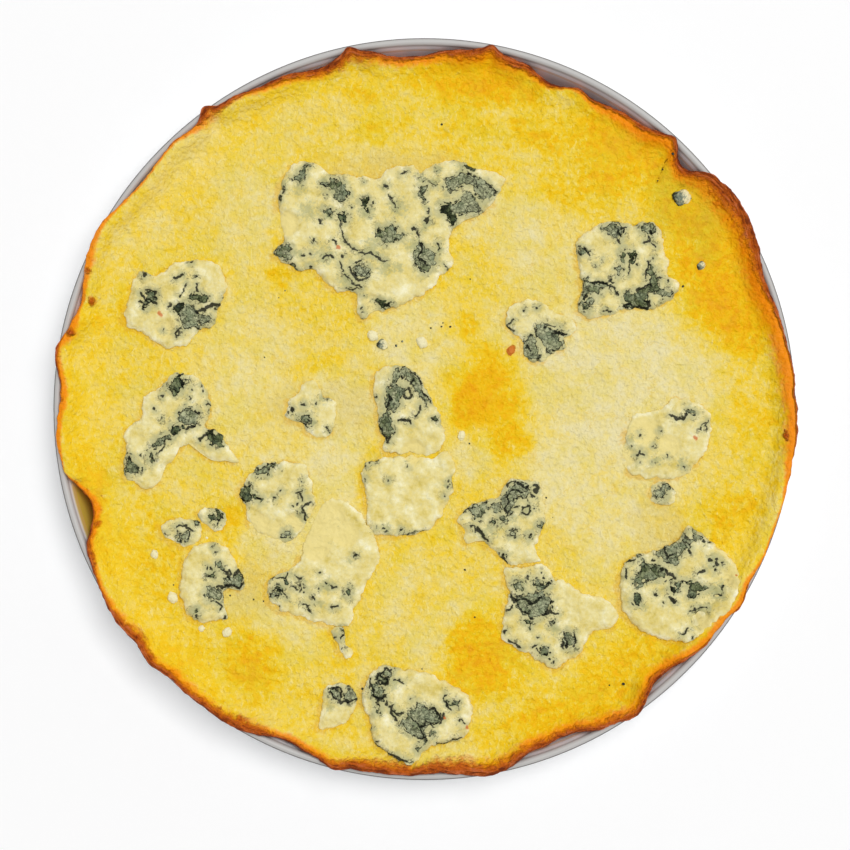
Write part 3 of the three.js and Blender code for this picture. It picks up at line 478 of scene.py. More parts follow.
        "patches": [(.9, [(-31.3, -83.2), (-30, -83.4), (-30.2, -84.6), (-31, -84.2)]),
        (.95, [(-32.4, -86.5), (-31.3, -85.2), (-30.3, -85.5), (-31.6, -87)])],
        "dots": [(-33.9, -86.2, .5), (-31.2, -90.5, .45)],
    },
    "cheese_lens_left": {
        "thickness": 1.7,
        "outline": [(-100.3, -44.5), (-97, -42), (-91, -41.3), (-86.5, -42), (-84, -45), (-83.8, -48),
        (-87, -51), (-90.5, -52.3), (-94, -50.5), (-98.5, -48)],
        "patches": [(.27, [(-93.6, -47.8), (-89, -45.7), (-88.5, -47), (-89.5, -49.3), (-91.5, -50),
        (-93.3, -49.3)]), (.5, [(-86.6, -40.8), (-85.5, -41), (-85.6, -43.2), (-86.6, -43.6)])],
        "strokes": [(.4, [(-93.7, -44.7), (-92, -43.9), (-90.5, -44), (-89.3, -45), (-87.5, -45.5)]),
        (.3, [(-88.3, -46.3), (-89.5, -48.8)])],
        "dots": [(-93.1, -46.3, .5), (-97.7, -46.8, .4), (-92.2, -50.3, .4), (-93.8, -48.5, .35)],
    },
    "cheese_lens_right": {
        "thickness": 1.5,
        "outline": [(-85.8, -40), (-84, -38), (-79.5, -37.2), (-76, -39), (-74.8, -42), (-76, -44.8),
        (-79.5, -46.3), (-83, -44)],
        "patches": [(.65, [(-79.3, -37.6), (-78.2, -37.4), (-76.7, -39.2), (-76.5, -41.2), (-77.5, -42.2),
        (-78.8, -41.3)]), (.85, [(-81, -39.6), (-79.9, -39.5), (-79.8, -41.2), (-80.8, -42.2),
        (-81.5, -41)])],
        "dots": [(-78.1, -43.3, .5), (-77.8, -42, .6)],
    },
    "cheese_lower_left": {
        "thickness": 2.2,
        "outline": [(-88.5, -53.4), (-84, -50.8), (-78, -50.8), (-73.5, -53.5), (-70.8, -59), (-68, -65),
        (-69.5, -68.2), (-74.8, -68), (-75.8, -74), (-74.5, -79), (-80, -80), (-85, -80.6), (-89.5, -77.5),
        (-92.3, -70), (-92, -62)],
        "patches": [(.3, [(-82.8, -69), (-81.7, -67), (-77.2, -67.8), (-76.2, -69.5), (-76.4, -71.8),
        (-77.3, -72.6), (-81.8, -71.5), (-83, -70.2)]), (.4, [(-75.5, -64), (-73.8, -63), (-72.5, -63.5),
        (-71.3, -61.8), (-69.2, -61.7), (-68.2, -66), (-69.5, -67.8), (-71.5, -66.6), (-75.8, -66.8)]),
        (.5, [(-78.3, -57.6), (-77.2, -57.3), (-75.3, -60.5), (-76.3, -61.5), (-77.3, -60.3),
        (-78.4, -60.2)]), (.6, [(-82.2, -62.8), (-81, -61.8), (-79, -61.3), (-78.8, -63.8), (-80.5, -63.2)]),
        (.75, [(-87.3, -76.4), (-86.8, -74.9), (-85, -76.2), (-86.2, -77)])],
        "strokes": [(.45, [(-75.7, -61.5), (-74.5, -62), (-73.2, -64)]), (.4, [(-73.5, -61), (-73, -62.8)]),
        (.5, [(-71.5, -62.3), (-70.2, -60.9), (-68.7, -61.8), (-68.8, -64.3)]), (.55, [(-68.5, -65.5),
        (-69, -67), (-70, -67.7), (-72, -66.5)]), (.4, [(-78.3, -66.8), (-76.5, -67.2), (-72, -66.4)]),
        (.35, [(-78.2, -72.8), (-76.3, -74.3)])],
        "dots": [(-78.5, -53.8, .5), (-82.2, -60, .4), (-80.6, -60.3, .5), (-80.3, -51.8, .35),
        (-76.8, -75.3, .5), (-85.8, -78.3, .65), (-75.4, -79, .8)],
        "stains": [(-77.5, -73.5, 1.8), (-80.5, -62, 3), (-86, -76, 2.5)],
    },
    "cheese_bottom": {
        "thickness": 2.6,
        "outline": [(-22, -103), (-15.5, -97), (-8, -98.5), (2, -100), (8, -103.3), (14.5, -106.6),
        (18.3, -111.5), (17, -118.5), (16.5, -122.8), (8, -126.3), (1.5, -127.8), (-5, -133.6),
        (-12.5, -130.5), (-18.8, -126), (-20.3, -119), (-23.6, -110)],
        "patches": [(.35, [(-16.5, -99.7), (-14.5, -97.3), (-13.2, -98.5), (-11.8, -98.2), (-13, -100.5),
        (-15, -101)]), (.55, [(-19, -101.5), (-17, -100.4), (-13.6, -102), (-14, -103.8), (-15.7, -103.5),
        (-17, -102)]), (.45, [(-20.3, -106.5), (-20, -104), (-18.7, -102.5), (-16, -104.5), (-15.2, -106),
        (-15.5, -108), (-14.4, -109.3), (-16, -110), (-18.5, -109.6), (-20, -108)]), (.8, [(-18.6, -110.7),
        (-17.5, -110.6), (-16.5, -112.5), (-16.3, -114.6), (-18.9, -114.9), (-18, -113)]),
        (.33, [(-4.3, -112.6), (-2.8, -111.2), (0, -111.8), (4.7, -114), (6.3, -118.3), (4, -119.3),
        (1.5, -118.8), (.3, -120.3), (-.3, -123.7), (-4.8, -123), (-9, -119.6), (-8.3, -117.5)]),
        (.5, [(1.5, -120.8), (3.2, -120.8), (4, -122), (3.2, -123.7)]), (.6, [(.5, -124.2), (1, -125.7),
        (-2.5, -129), (-3, -128.5)]), (.5, [(8.7, -110.5), (12.8, -110.2), (12.3, -111.8), (9.8, -112),
        (8.5, -111.5)])],
        "strokes": [(.4, [(-18.6, -101.8), (-17.3, -100.3), (-15.5, -101.3), (-13.5, -101.2)]),
        (.4, [(-16.5, -99.8), (-14.3, -97.5), (-12.5, -98.5)]), (.4, [(-14.5, -102), (-13.7, -103.3),
        (-15.8, -103.6)]), (.35, [(-20.3, -103.7), (-19.2, -105.5), (-19.8, -107.5), (-18.2, -109),
        (-15, -109.3), (-14.6, -108)]), (.3, [(-20.3, -101.6), (-20.7, -105)]), (.35, [(-11.3, -102.5),
        (-9.8, -102.2), (-8, -103.7)]), (.5, [(-12.9, -112), (-12.5, -114.8), (-11, -117.5)]),
        (.5, [(-12, -113.5), (-10, -114.8), (-8.5, -114.6)]), (.4, [(-10.5, -115), (-9.6, -116)]),
        (.35, [(-3, -110.7), (-2.6, -111.8)]), (.4, [(2.7, -113), (4.4, -113.4), (6, -117)]),
        (.45, [(6, -118.6), (7.3, -115.2)]), (.3, [(-4.6, -116.5), (-1.5, -120.2), (0, -119.6), (.6, -117.6),
        (2.3, -118), (3.2, -119.3)]), (.35, [(-1.5, -120.3), (0, -123.7), (-3, -123.6)]),
        (.35, [(7.9, -107.7), (7.4, -109.8), (9.8, -113.5)]), (.3, [(12.9, -117.7), (13.8, -116.6),
        (15.3, -119)]), (.45, [(-18.8, -126.5), (-14, -130.2), (-9.5, -131.3)]), (.45, [(-13.3, -130.4),
        (-5.2, -133.3)]), (.3, [(5, -126.6), (8, -126.2), (13.5, -124)])],
        "dots": [(-14.3, -111, .7), (-12.2, -112, .5), (6.9, -115.3, .5), (-18.2, -125.6, .35),
        (-20.2, -120.4, .35), (-5.3, -109.4, .45)],
        "stains": [(-11.5, -104, 3.6), (-18, -106, 4), (-5, -117.3, 2), (9, -111, 3), (-11, -115, 3)],
        "rust": [(7.8, -115.9, .5), (16.2, -120.3, .7)],
    },
    "cheese_bottom_small": {
        "thickness": 1.7,
        "outline": [(-36.8, -104.8), (-28.5, -104.7), (-25.2, -108.6), (-27, -114.5), (-31, -119.3),
        (-39.8, -121), (-39, -114)],
        "patches": [(.38, [(-35.8, -105.4), (-31.9, -105.2), (-31.4, -110.3), (-35.3, -108), (-35.9, -107)]),
        (.38, [(-29.8, -105.6), (-28, -105), (-25.9, -106.2), (-24.4, -109), (-29, -110.4), (-31, -110.4)])],
        "strokes": [(.35, [(-35.9, -107.2), (-33, -109.9), (-31.3, -110.6), (-29, -110.5), (-24.3, -109.1)]),
        (.3, [(-35.9, -105.3), (-31.8, -105.1), (-31.5, -108)])],
        "stains": [(-35.6, -112.7, 2.2)],
    },
    "cheese_low_right_upper": {
        "thickness": 1.9,
        "outline": [(12.8, -41.5), (14.2, -38.6), (18.5, -35.8), (24, -34.2), (28, -33.2), (29.6, -30),
        (32.6, -26.7), (37, -26.2), (43.8, -28.8), (44.4, -33), (45.5, -39), (44.6, -44), (43.2, -49),
        (41.9, -52), (43, -55.4), (44, -57.4), (38, -58.2), (33.5, -59), (29.8, -57), (26.8, -53.8),
        (23.6, -51.2), (19.6, -50), (16, -50.8), (14.8, -46)],
        "patches": [(.38, [(17.2, -38.2), (18.7, -36.2), (23.3, -35.2), (23.6, -37), (23, -39.5),
        (21.3, -42), (19, -40.8)]), (.3, [(25, -35.5), (27, -35.3), (28.6, -36.3), (29.3, -38.7),
        (28, -39.3), (26.3, -38.8), (25.2, -37.2)]), (.3, [(29, -33.5), (30.7, -32.5), (31.3, -30),
        (35, -27.5), (37.5, -27.8), (39.3, -29), (39.7, -31.5), (38, -33.3), (36, -32.8), (34, -33.8),
        (34.2, -36), (33, -38.5), (31.3, -39.8), (28.8, -35.5)]), (.45, [(28.3, -40.3), (30.5, -40.2),
        (31, -42), (29.5, -42.7), (28.2, -42)]), (.6, [(25, -43.3), (25.7, -42), (26.8, -42.5), (26, -44),
        (25, -44.5)]), (.45, [(43, -43.7), (43.8, -42.7), (44.6, -43), (44.5, -44.5), (43.8, -45)]),
        (.2, [(32, -46.8), (33, -45.5), (34.6, -46), (34.7, -47.5), (33.2, -48.2), (32.2, -47.8)]),
        (.4, [(39.2, -47.5), (40.3, -47.2), (40.4, -48.8), (39.4, -49)]), (.95, [(28.5, -54.6), (30, -54.2),
        (31.3, -54.8), (30.5, -56.5), (29.2, -56)])],
        "strokes": [(.3, [(14, -39.4), (18, -36.9)]), (.35, [(31.2, -28.8), (35, -26.9)]),
        (.35, [(35.3, -28), (38, -29.5), (39, -29)]), (.3, [(33, -31), (34.5, -30), (36.5, -31.5),
        (38.5, -30.8)]), (.35, [(31, -33), (32, -35), (30.3, -37.5), (31.5, -39.8)]), (.3, [(33, -33.8),
        (34.5, -34), (36, -33), (38.3, -33.4), (39.7, -35.3)]), (.5, [(41.2, -28.7), (42.8, -29.2),
        (43.6, -30.3), (42, -31.2)]), (.5, [(41.3, -30.5), (42.8, -30.6)]), (.4, [(40.5, -32.3),
        (41.3, -33.2)]), (.3, [(34, -37.5), (36, -36.7)]), (.35, [(37, -38.6), (37.3, -37), (39.3, -36.5),
        (39.7, -38.3), (38.3, -39.6), (37.2, -39)]), (.4, [(18.5, -44.3), (19.5, -46)]), (.6, [(20.3, -45.2),
        (23.5, -49.5)]), (.35, [(29.3, -56), (31.2, -58.2)])],
        "dots": [(18.8, -36.1, .4), (23.5, -35.1, .35), (41.5, -37.3, .35), (17.6, -44.2, .5),
        (28, -54.5, .35)],
        "stains": [(23.8, -45.3, 2.4), (26.5, -47, 2.6), (22, -47, 3), (38.5, -38, 2), (33, -41, 3)],
    },
    "cheese_low_right_lower": {
        "thickness": 2.1,
        "melted": [(66, -68, 4), (56, -60, 4)],
        "outline": [(30, -60.6), (33.6, -60), (38, -59.2), (44.4, -58.4), (46.4, -59.4), (49, -63.5),
        (53.5, -65.6), (59, -69.3), (64, -70.4), (69, -72.5), (73.2, -77.5), (71, -82.3), (66.5, -83.4),
        (62.8, -84.8), (60.8, -89), (59.5, -92.5), (54.5, -94.6), (50.5, -98), (45.5, -96.8), (41, -93.6),
        (35, -90.6), (30.3, -87.3), (29.2, -81), (30.2, -76), (32, -70), (30.6, -65)],
        "patches": [(.5, [(33.5, -65.5), (35, -64.8), (36.5, -66), (37.8, -67.5), (37, -68.8), (35, -68.7),
        (33.9, -67.5)]), (.5, [(41, -65), (43, -64.3), (47, -66.5), (46, -67.5), (42.3, -68.3),
        (41.2, -67)]), (.32, [(33.3, -71), (38, -69.5), (41.5, -69.5), (44, -68.6), (46, -69.5), (47, -71.5),
        (47.2, -76.5), (40.3, -79.5), (34, -73.5)]), (.75, [(37.8, -79.8), (39.3, -79.5), (40.7, -80.3),
        (40, -82.8)]), (.45, [(47.8, -80.3), (49.3, -80.2), (49.6, -81.5), (48.2, -81.8)]),
        (.38, [(52.3, -86.5), (53.3, -83.5), (56.3, -85.5), (56.8, -88), (56, -89.8), (52.7, -89.3)]),
        (.45, [(43.5, -91), (45, -90), (46.3, -90.6), (47.3, -92), (46.3, -93.2), (44.7, -93.5)])],
        "strokes": [(.45, [(33.3, -71), (34.8, -72), (39, -71.9), (40, -73.6), (44.3, -71.3)]),
        (.4, [(33, -70.5), (34, -71.5), (33.2, -73)]), (.35, [(35, -74), (36.5, -76), (38, -76.2),
        (39.3, -78.3), (40.8, -79.3)]), (.35, [(47.3, -73), (49, -72.3)]), (.4, [(47.2, -75.5), (48, -77),
        (50.3, -77.2)]), (.35, [(48.2, -74), (48.6, -75.3)]), (.3, [(31.2, -76), (31.8, -76.3), (33, -75.5),
        (32.9, -74.3)]), (.35, [(44.7, -77.7), (47, -76.3)]), (.35, [(52.5, -84), (54, -89.5)]),
        (.35, [(56.5, -84.5), (57, -87), (56.8, -90)]), (.5, [(52, -88), (52.6, -90)]), (.3, [(40.7, -89.7),
        (42.5, -89)]), (.3, [(42, -90.7), (43.3, -92)]), (.4, [(31.7, -87.4), (34, -88.3), (36.3, -90.2)])],
        "dots": [(56.8, -90, .6), (45.7, -92.3, .5), (46.7, -94.6, .5), (48.5, -95.4, .45),
        (42.8, -86.3, .35), (30.3, -84.2, .6), (39.2, -63.4, .5), (38.2, -65.5, .4), (43.9, -61.7, .4),
        (45, -63.5, .5), (47, -66, .6), (48, -64.9, .35)],
        "stains": [(49.5, -83.8, 3), (36, -66, 4), (45, -92, 3), (42.5, -72, 1.2)],
    },
    "cheese_right_pale": {
        "thickness": 1.6,
        "melted": [(83, -8, 6), (92, -14, 5), (76, -18, 4)],
        "outline": [(80, -2), (89, -.5), (95, 4.2), (101, 3.2), (107.5, -1.5), (108, -11), (104.5, -19),
        (97, -25.5), (87, -26), (77.5, -24), (75.5, -15), (76.5, -7)],
        "patches": [(.4, [(98.6, 0), (99.8, .5), (102.5, -1.8), (101.4, -2.3), (99.5, -1.6)])],
        "strokes": [(.5, [(93.2, -2.3), (95, -3.4), (97.7, -3.2), (98.9, -2.3)]), (.3, [(103.6, -8),
        (105.9, -5.5)]), (.2, [(106.1, -7.7), (107, -4.1)]), (.45, [(80.2, -17.7), (81.4, -15.5)]),
        (.45, [(81.6, -17), (82.7, -17.3)])],
        "dots": [(97.3, -3.2, .8), (81.5, -9.8, .5), (78.4, -14, .4), (89.1, -8.3, .35), (86.5, -13.9, .35),
        (92, -17.6, .55), (85.8, -20.1, .35), (81.1, -20, .35), (98, -21.8, .35)],
        "stains": [(77.5, -11.5, 3.5), (88, -19, 3), (97, -20, 3)],
        "rust": [(102.5, -10.8, .9)],
    },
    "cheese_right_small": {
        "thickness": 1.5,
        "outline": [(87.5, -28.3), (91, -27.6), (94.6, -30.2), (94.5, -34.5), (90, -36.4), (86, -34)],
        "patches": [(.3, [(87.3, -31.4), (89.1, -30), (90.9, -30.5), (91.4, -32.3), (90, -34.5),
        (87.7, -33.6)]), (.5, [(90, -29.5), (91.8, -28.4), (94, -29.8), (91.4, -31.4)])],
    },
    "cheese_lower_right": {
        "thickness": 2.7,
        "melted": [(117, -64, 4), (104, -80, 4)],
        "outline": [(75.5, -58.5), (80.5, -54.8), (88, -53.5), (96.5, -48.8), (99.5, -44.4), (103, -45.5),
        (109, -50.5), (116.5, -57.5), (118.6, -65), (115.3, -74), (107.5, -80.8), (100, -87.2), (90.5, -87),
        (80, -82.3), (74.3, -75), (73.8, -66)],
        "patches": [(.35, [(88, -53.6), (90, -51.8), (95, -50.2), (97.7, -50), (100.9, -52.3), (98.6, -53.2),
        (96.4, -55), (95.5, -58.2), (93.2, -59.1), (88.2, -55.9)]), (.4, [(96.8, -48.6), (97.7, -46.4),
        (98.4, -46.8), (98.2, -48.2), (101.4, -49.5), (100.5, -50.5), (97.7, -50)]), (.45, [(101.4, -44.8),
        (103.2, -47.3), (105, -48.6), (101.8, -49.5)]), (.6, [(80.9, -60.5), (82.3, -58.2), (85, -58.9),
        (89.1, -58.6), (90.5, -60.5), (90.5, -62.7), (88.6, -64.1), (82.7, -64.5), (80.7, -67.7),
        (78.6, -65.2), (80.5, -63.2)]), (.3, [(80, -55), (81.8, -55.5), (82.7, -57.3), (82.3, -58.2)]),
        (.9, [(92.7, -64.5), (93.6, -64.1), (94.5, -69.5), (93.2, -69.5), (92.5, -68.6)]), (.4, [(94.1, -65),
        (96.8, -65.2), (97.5, -66.4), (95.9, -69.1), (94.5, -69.1)]), (.7, [(99.1, -65.2), (102.3, -65),
        (107.7, -67.7), (103.2, -68.9), (102.3, -70.5), (100, -70.9)]), (.8, [(79.1, -70), (81, -70),
        (81.8, -72), (81.4, -73.4), (79.8, -73.6), (79, -72)])],
        "strokes": [(.4, [(90.5, -52.3), (91.8, -56.4)]), (.35, [(91.8, -56.6), (94.1, -54.3)]),
        (.35, [(77, -57.5), (80, -57)]), (.5, [(75.9, -60.5), (75.9, -63.2)]), (.5, [(91.1, -60.9),
        (91.8, -62.3), (93.6, -62.7), (94.1, -64.1)]), (.6, [(92.3, -70.9), (94.8, -73)]),
        (.3, [(96.8, -65.2), (99.5, -65.2)]), (.4, [(102.9, -62.2), (105.2, -60.9)]), (.3, [(113.2, -66),
        (111.8, -68.2)]), (.3, [(109, -70.5), (112, -69.8)]), (.3, [(100, -76), (103, -75), (106.5, -74.8)]),
        (.3, [(101, -77), (104, -76)]), (.4, [(96.8, -85), (98.6, -84.1), (99.8, -82.7)])],
        "dots": [(105.5, -49.8, .8), (107.7, -50.3, .6), (100.2, -51.1, .5), (100.2, -53.9, .7),
        (86, -57, .6), (89.3, -60.3, .8), (87, -70, .7), (90.2, -73.1, .5), (104.1, -64.5, .35),
        (108, -56.8, .7), (110.5, -56.6, .6), (110, -58.2, .8), (112.3, -58.2, .6), (108.9, -59.1, .5),
        (109.8, -60.9, .5), (91, -64.8, .35), (100.8, -86, .45), (101.4, -80.5, .35), (78.2, -73.6, .5)],
        "stains": [(82.7, -75, 1.8), (104, -77, 4), (110, -68, 4), (109, -58, 4)],
        "rust": [(117.6, -62.7, .5)],
    },
}

# Every vein mark of every piece, so that a mark that runs over an edge shows on both sides of it.
def gatherMarks(kind):
    return [mark for piece in cheesePieces.values() for mark in piece.get(kind, [])]


def nearBox(x, y, line, reach):
    corners = np.array(line, float)
    middle = corners.mean(axis=0)
    size = max(np.hypot(*(corners - middle).T)) + reach
    return (x.min() - size < middle[0] < x.max() + size) and (y.min() - size < middle[1] < y.max() + size)


# The strongest of what round spots give. A spot is x, y and what the strength takes beside the distance.
def fromSpots(x, y, spots, strength):
    strongest = np.zeros(x.shape)
    for spotX, spotY, *settings in spots:
        strongest = np.maximum(strongest, strength(np.hypot(x - spotX, y - spotY), *settings))
    return strongest


# 1 where a piece has melted into the baked cheese.
def meltedShare(x, y):
    return fromSpots(
        x, y, gatherMarks("melted"), lambda away, radius: smoothStep(1.25 * radius, .5 * radius, away))


markReach = {"farthest": 9.0, "box": 3, "wander": .7, "wanderSize": 2.4, "plainTone": .4}


# How the surface of the blue cheese is marked at each point: distances are in millimetres, below 0 inside.
def cheeseFields(x, y):
    melted = meltedShare(x, y)
    wanderX, wanderY = (
        markReach["wander"] * roughNoise(x, y, markReach["wanderSize"], seed, 4) for seed in (301, 311))
    x, y = x + wanderX, y + wanderY
    vein, tone = np.full(x.shape, markReach["farthest"]), np.full(x.shape, markReach["plainTone"])
    for darkness, outline in gatherMarks("patches"):
        if nearBox(x, y, outline, markReach["box"]):
            away = outlineDistance(x, y, outline)
            tone = np.where(away < vein, darkness, tone)
            vein = np.minimum(vein, away)
    stroke = np.full(x.shape, markReach["farthest"])
    for halfWidth, line in gatherMarks("strokes"):
        if nearBox(x, y, line, markReach["box"]):
            stroke = np.minimum(stroke, lineDistance(x, y, line) - halfWidth)
    for spotX, spotY, radius in gatherMarks("dots"):
        stroke = np.minimum(stroke, np.hypot(x - spotX, y - spotY) - radius)
    stain = fromSpots(x, y, gatherMarks("stains"), lambda away, radius: 1 - away / radius)
    rust = fromSpots(x, y, gatherMarks("rust"), lambda away, radius: 1 - away / (2 * radius))
    return {"vein": vein, "tone": tone, "stroke": stroke, "stain": stain, "rust": rust, "melted": melted}


pieceShape = {
    "spacing": .36, "shoulder": 3.2, "roundness": 2.2, "lowestShoulder": .45, "raggedEdge": .85,
    "raggedSize": 3.4, "lumps": .36, "lumpSize": 7, "grains": .2, "grainSize": 2.6, "veinSunk": .3,
    "strokeSunk": .15, "meltedAway": .6, "quickFactor": 2.2, "firstRing": .45, "veinEdge": (.5, -.6),
    "veinEdgeSize": 1.4, "strokeEdge": (.35, -.2),
    # How far the side is drawn in, and its height as a share of the thickness.
    "sideRows": [(.04, .08), (0, .18), (.07, .3), (.22, .4)],
}


def cheesePoints(piece, seed):
    shape = pieceShape
    spacing = shape["spacing"] * 1
    count = 8 * max(5, round(outlineLength(piece["outline"]) / spacing / 8))
    rim = smoothOutline(piece["outline"][::-1], count)
    centre = rim.mean(axis=0)
    outwards = (rim - centre) / np.hypot(*(rim - centre).T)[:, None]
    ragged = shape["raggedEdge"] * roughNoise(rim[:, 0], rim[:, 1], shape["raggedSize"], seed, 4)
    rim = rim + outwards * ragged[:, None]
    reach = np.hypot(*(rim - centre).T)
    thickness = piece["thickness"]

    def ring(inset):
        return rim - outwards * np.minimum(inset, .4 * reach)[:, None]

    sideRings = [(cheese["footInset"], -cheese["sunk"]), (.3, -.25)]
    sideRings += [(inset, share * thickness) for inset, share in shape["sideRows"]]
    rings = [ring(inset) for inset, lift in sideRings]
    lifts = [np.full(count, lift) for inset, lift in sideRings]
    start = shape["firstRing"] / reach.mean()
    levels = int((1 - start) * reach.mean() / spacing)
    shares = start + (1 - start) * np.arange(levels) / levels
    points = []
    for share in shares:
        thinning = 1 if share < .5 else 2 if share < .75 else 4 if share < .875 else 8
        points.append((rim + (centre - rim) * share)[::thinning])
    rings += points
    counts = [len(ring) for ring in rings]
    inner = np.vstack(points)
    depth = -outlineDistance(inner[:, 0], inner[:, 1], rim.tolist())
    rise = 1 - (1 - np.clip(depth / shape["shoulder"], .02, 1)) ** shape["roundness"]
    top = thickness * rise ** (1 / shape["roundness"])
    top = np.maximum(top, shape["lowestShoulder"] * thickness)
    x, y = np.vstack(rings + [centre]).T
    lift = np.concatenate(lifts + [top, [thickness]])
    fields = cheeseFields(x, y)
    lumps = shape["lumps"] * roughNoise(x, y, shape["lumpSize"], seed + 9, 3)
    grains = shape["grains"] * roughNoise(x, y, shape["grainSize"], seed + 19, 2)
    raggedVein = fields["vein"] + .5 * softNoise(x, y, shape["veinEdgeSize"], seed + 29)
    sunk = shape["veinSunk"] * smoothStep(*shape["veinEdge"], raggedVein)
    sunk += shape["strokeSunk"] * smoothStep(*shape["strokeEdge"], fields["stroke"])
    lift = np.where(lift > 0, lift * (1 - shape["meltedAway"] * fields["melted"]), lift)
    onTop = np.clip(lift / thickness, 0, 1)
    lift = lift + onTop * (lumps + grains - sunk)
    surface = surfaceHeight(x, y)
    climb = smoothStep(pizza["middleTop"] + 1, pizza["crustTopOverLip"], surface)
    z = surface + lift * (1 - cheese["thinnedOnCrust"] * climb)
    foot = surfaceHeight(centre[:1], centre[1:])[0] - cheese["sunk"]
    points = np.vstack([[[centre[0], centre[1], foot]], np.stack([x, y, z], 1)])
    fields = {field: np.append(values[-1:], values) for field, values in fields.items()}
    fields["depth"] = np.concatenate([np.zeros(len(x) - len(inner)), depth, [markReach["farthest"]]])
    return points, bodyFaces(counts), fields


# Where the baked cheese is more golden, paler, duller, orange or olive, and where painted light brightens it:
# x, y, half sizes, strength, and its turn in degrees if it has one.
toneZones = {
    # The golden zones at (-24, -31) and (-72, -42), beside pieces, are painted shadow.
    "golden": [
        (22, 126, 28, 11, .5), (52, 100, 18, 12, .22, -30), (74, 107, 20, 12, .5, -40),
        (100, 72, 12, 30, .45, 20), (116, 44, 13, 26, .55, 15), (25, 9, 13, 15, .62), (33, -12, 7, 7, .45),
        (20, -93, 14, 14, .5), (80, -97, 30, 13, .3, 35), (55, -113, 20, 9, .3, 15), (-65, -96, 11, 13, .45),
        (-88, -92, 12, 10, .12), (-104, -60, 14, 22, .16, 20), (-126, -36, 9, 26, .34, 12),
        (36, 126, 14, 9, .3), (72, 97, 15, 17, .35), (-20, 105, 7, 5, .25), (-24, 122, 9, 8, .15),
        (-55, 48, 5, 5, .2), (127, 0, 9, 28, .15), (116, -42, 10, 12, .25), (-72, -42, 6, 8, .4),
        (-128, 38, 8, 10, .2), (-135, 10, 7, 26, .16), (52, -53, 7, 8, .15), (12, 30, 6, 5, .25),
        (-24, -31, 3, 7, .3), (-44, 14, 8, 4, .15, 20), (60, 82, 18, 9, .16), (-30, -132, 30, 6, .15, 12),
        (35, -124, 18, 8, .25, 15), (18, 108, 10, 8, .15), (104, 46, 14, 24, .28), (-36, 18, 8, 6, .25),
        (17, 1, 8, 9, .4), (-90, -102, 24, 11, .16, -42), (26, -99, 17, 11, .28), (-46, 127, 16, 6, .2, 10),
        (-126, -54, 8, 12, .2, 20), (120, 34, 9, 14, .2), (106, 74, 10, 9, .3), (22, 126, 12, 6, .2),
        (38, 108, 8, 8, .1), (-34, -88, 10, 7, .08), (0, -6, 5, 5, .2), (0, -72, 10, 7, .14),
        (18, -88, 9, 9, .2), (76, 106, 12, 8, .4), (18, 2, 8, 7, .4), (20, 126, 10, 6, .3),
        (112, 36, 13, 8, .3), (-108, 36, 9, 9, .25), (90, 90, 7, 7, .3), (88, -74, 8, 6, .2)],
    "pale": [
        (74, 14, 36, 30, .62), (66, -28, 30, 24, .45), (-68, 14, 22, 38, .28), (-32, -2, 15, 26, .3),
        (-44, -40, 28, 24, .42), (-68, 76, 16, 20, .26), (48, 56, 20, 15, .3, 30), (-2, -80, 20, 20, .2),
        (-106, 66, 16, 10, .12, 30), (-45, 108, 20, 8, .1, 20), (92, -14, 20, 18, .2), (-20, 98, 18, 6, .12),
        (-2, -6, 8, 7, .3), (46, -28, 8, 14, .2), (-90, -28, 14, 8, .12), (24, -60, 16, 10, .08),
        (-94, 98, 20, 14, .3, 45), (28, 72, 20, 13, .3), (-4, 26, 16, 18, .38), (42, 32, 20, 12, .25),
        (16, -20, 7, 8, .3), (62, -55, 18, 10, .28), (-50, -82, 15, 13, .28), (-16, -108, 12, 10, .2),
        (36, -36, 10, 10, .2), (-14, 2, 8, 8, .2), (126, 14, 5, 12, .2), (0, -62, 12, 10, .08),
        (90, -54, 10, 7, .2), (56, 92, 8, 8, .15), (-72, -72, 7, 7, .15), (-90, -16, 8, 8, .12),
        (-98, 0, 15, 10, .16), (72, -72, 8, 7, .16), (0, -127, 48, 6, .18), (90, 36, 8, 8, .16),
        (36, 18, 8, 8, .14)],
    "dull": [
        (-38, 0, 24, 11, .5), (-14, 89, 30, 9, .45), (88, -42, 12, 12, .4), (-60, -66, 12, 14, .3),
        (-30, 62, 10, 10, .3), (-18, -108, 9, 8, .4), (-10, -16, 10, 6, .3), (92, -54, 9, 8, .5),
        (-72, -70, 10, 9, .35)],
    # The orange zones at (-25, -31) and (-72, -42), beside pieces, are painted shadow.
    "orange": [
        (21, 126, 20, 9, .4), (75, 98, 13, 11, .35, -30), (115, 38, 13, 14, .4), (100, 58, 10, 16, .12, 15),
        (60, 80, 20, 10, .1), (24, 6, 10, 15, .55), (35, -14, 6, 5, .35), (12, 30, 5, 5, .2),
        (32, 22, 4, 3, .4), (19, -95, 9, 8, .26), (-65, -96, 7, 10, .2), (-72, -42, 7, 6, .4),
        (54, -110, 14, 8, .08), (60, 112, 8, 8, .3, -30), (-72, 46, 6, 6, .12), (52, -54, 8, 8, .15),
        (-25, -31, 4, 6, .25)],
    # Painted light: zones near the edge made brighter where the surface faces away from the lamp.
    "sunny": [
        (-128, 10, 14, 44, .4), (-120, -50, 14, 26, .6, 20), (-96, -94, 30, 14, .5, -45),
        (-54, -112, 16, 8, .3, -20), (-92, 92, 34, 12, .4, 42), (-52, 122, 18, 8, .4, 20),
        (122, -52, 10, 12, .5), (62, -92, 24, 10, .3, 35)],
    "olive": [
        (104, 84, 7, 12, .4, 35), (107, 64, 9, 14, .4), (98, 77, 16, 14, .4), (-118, -30, 8, 8, .3),
        (-130, 20, 5, 20, .15), (90, 88, 8, 6, .25), (-110, -6, 4, 14, .25), (60, -122, 26, 5, .2, 18),
        (-58, 90, 6, 8, .2), (84, -106, 8, 5, .3, 40), (-46, -6, 5, 4, .5)],
}
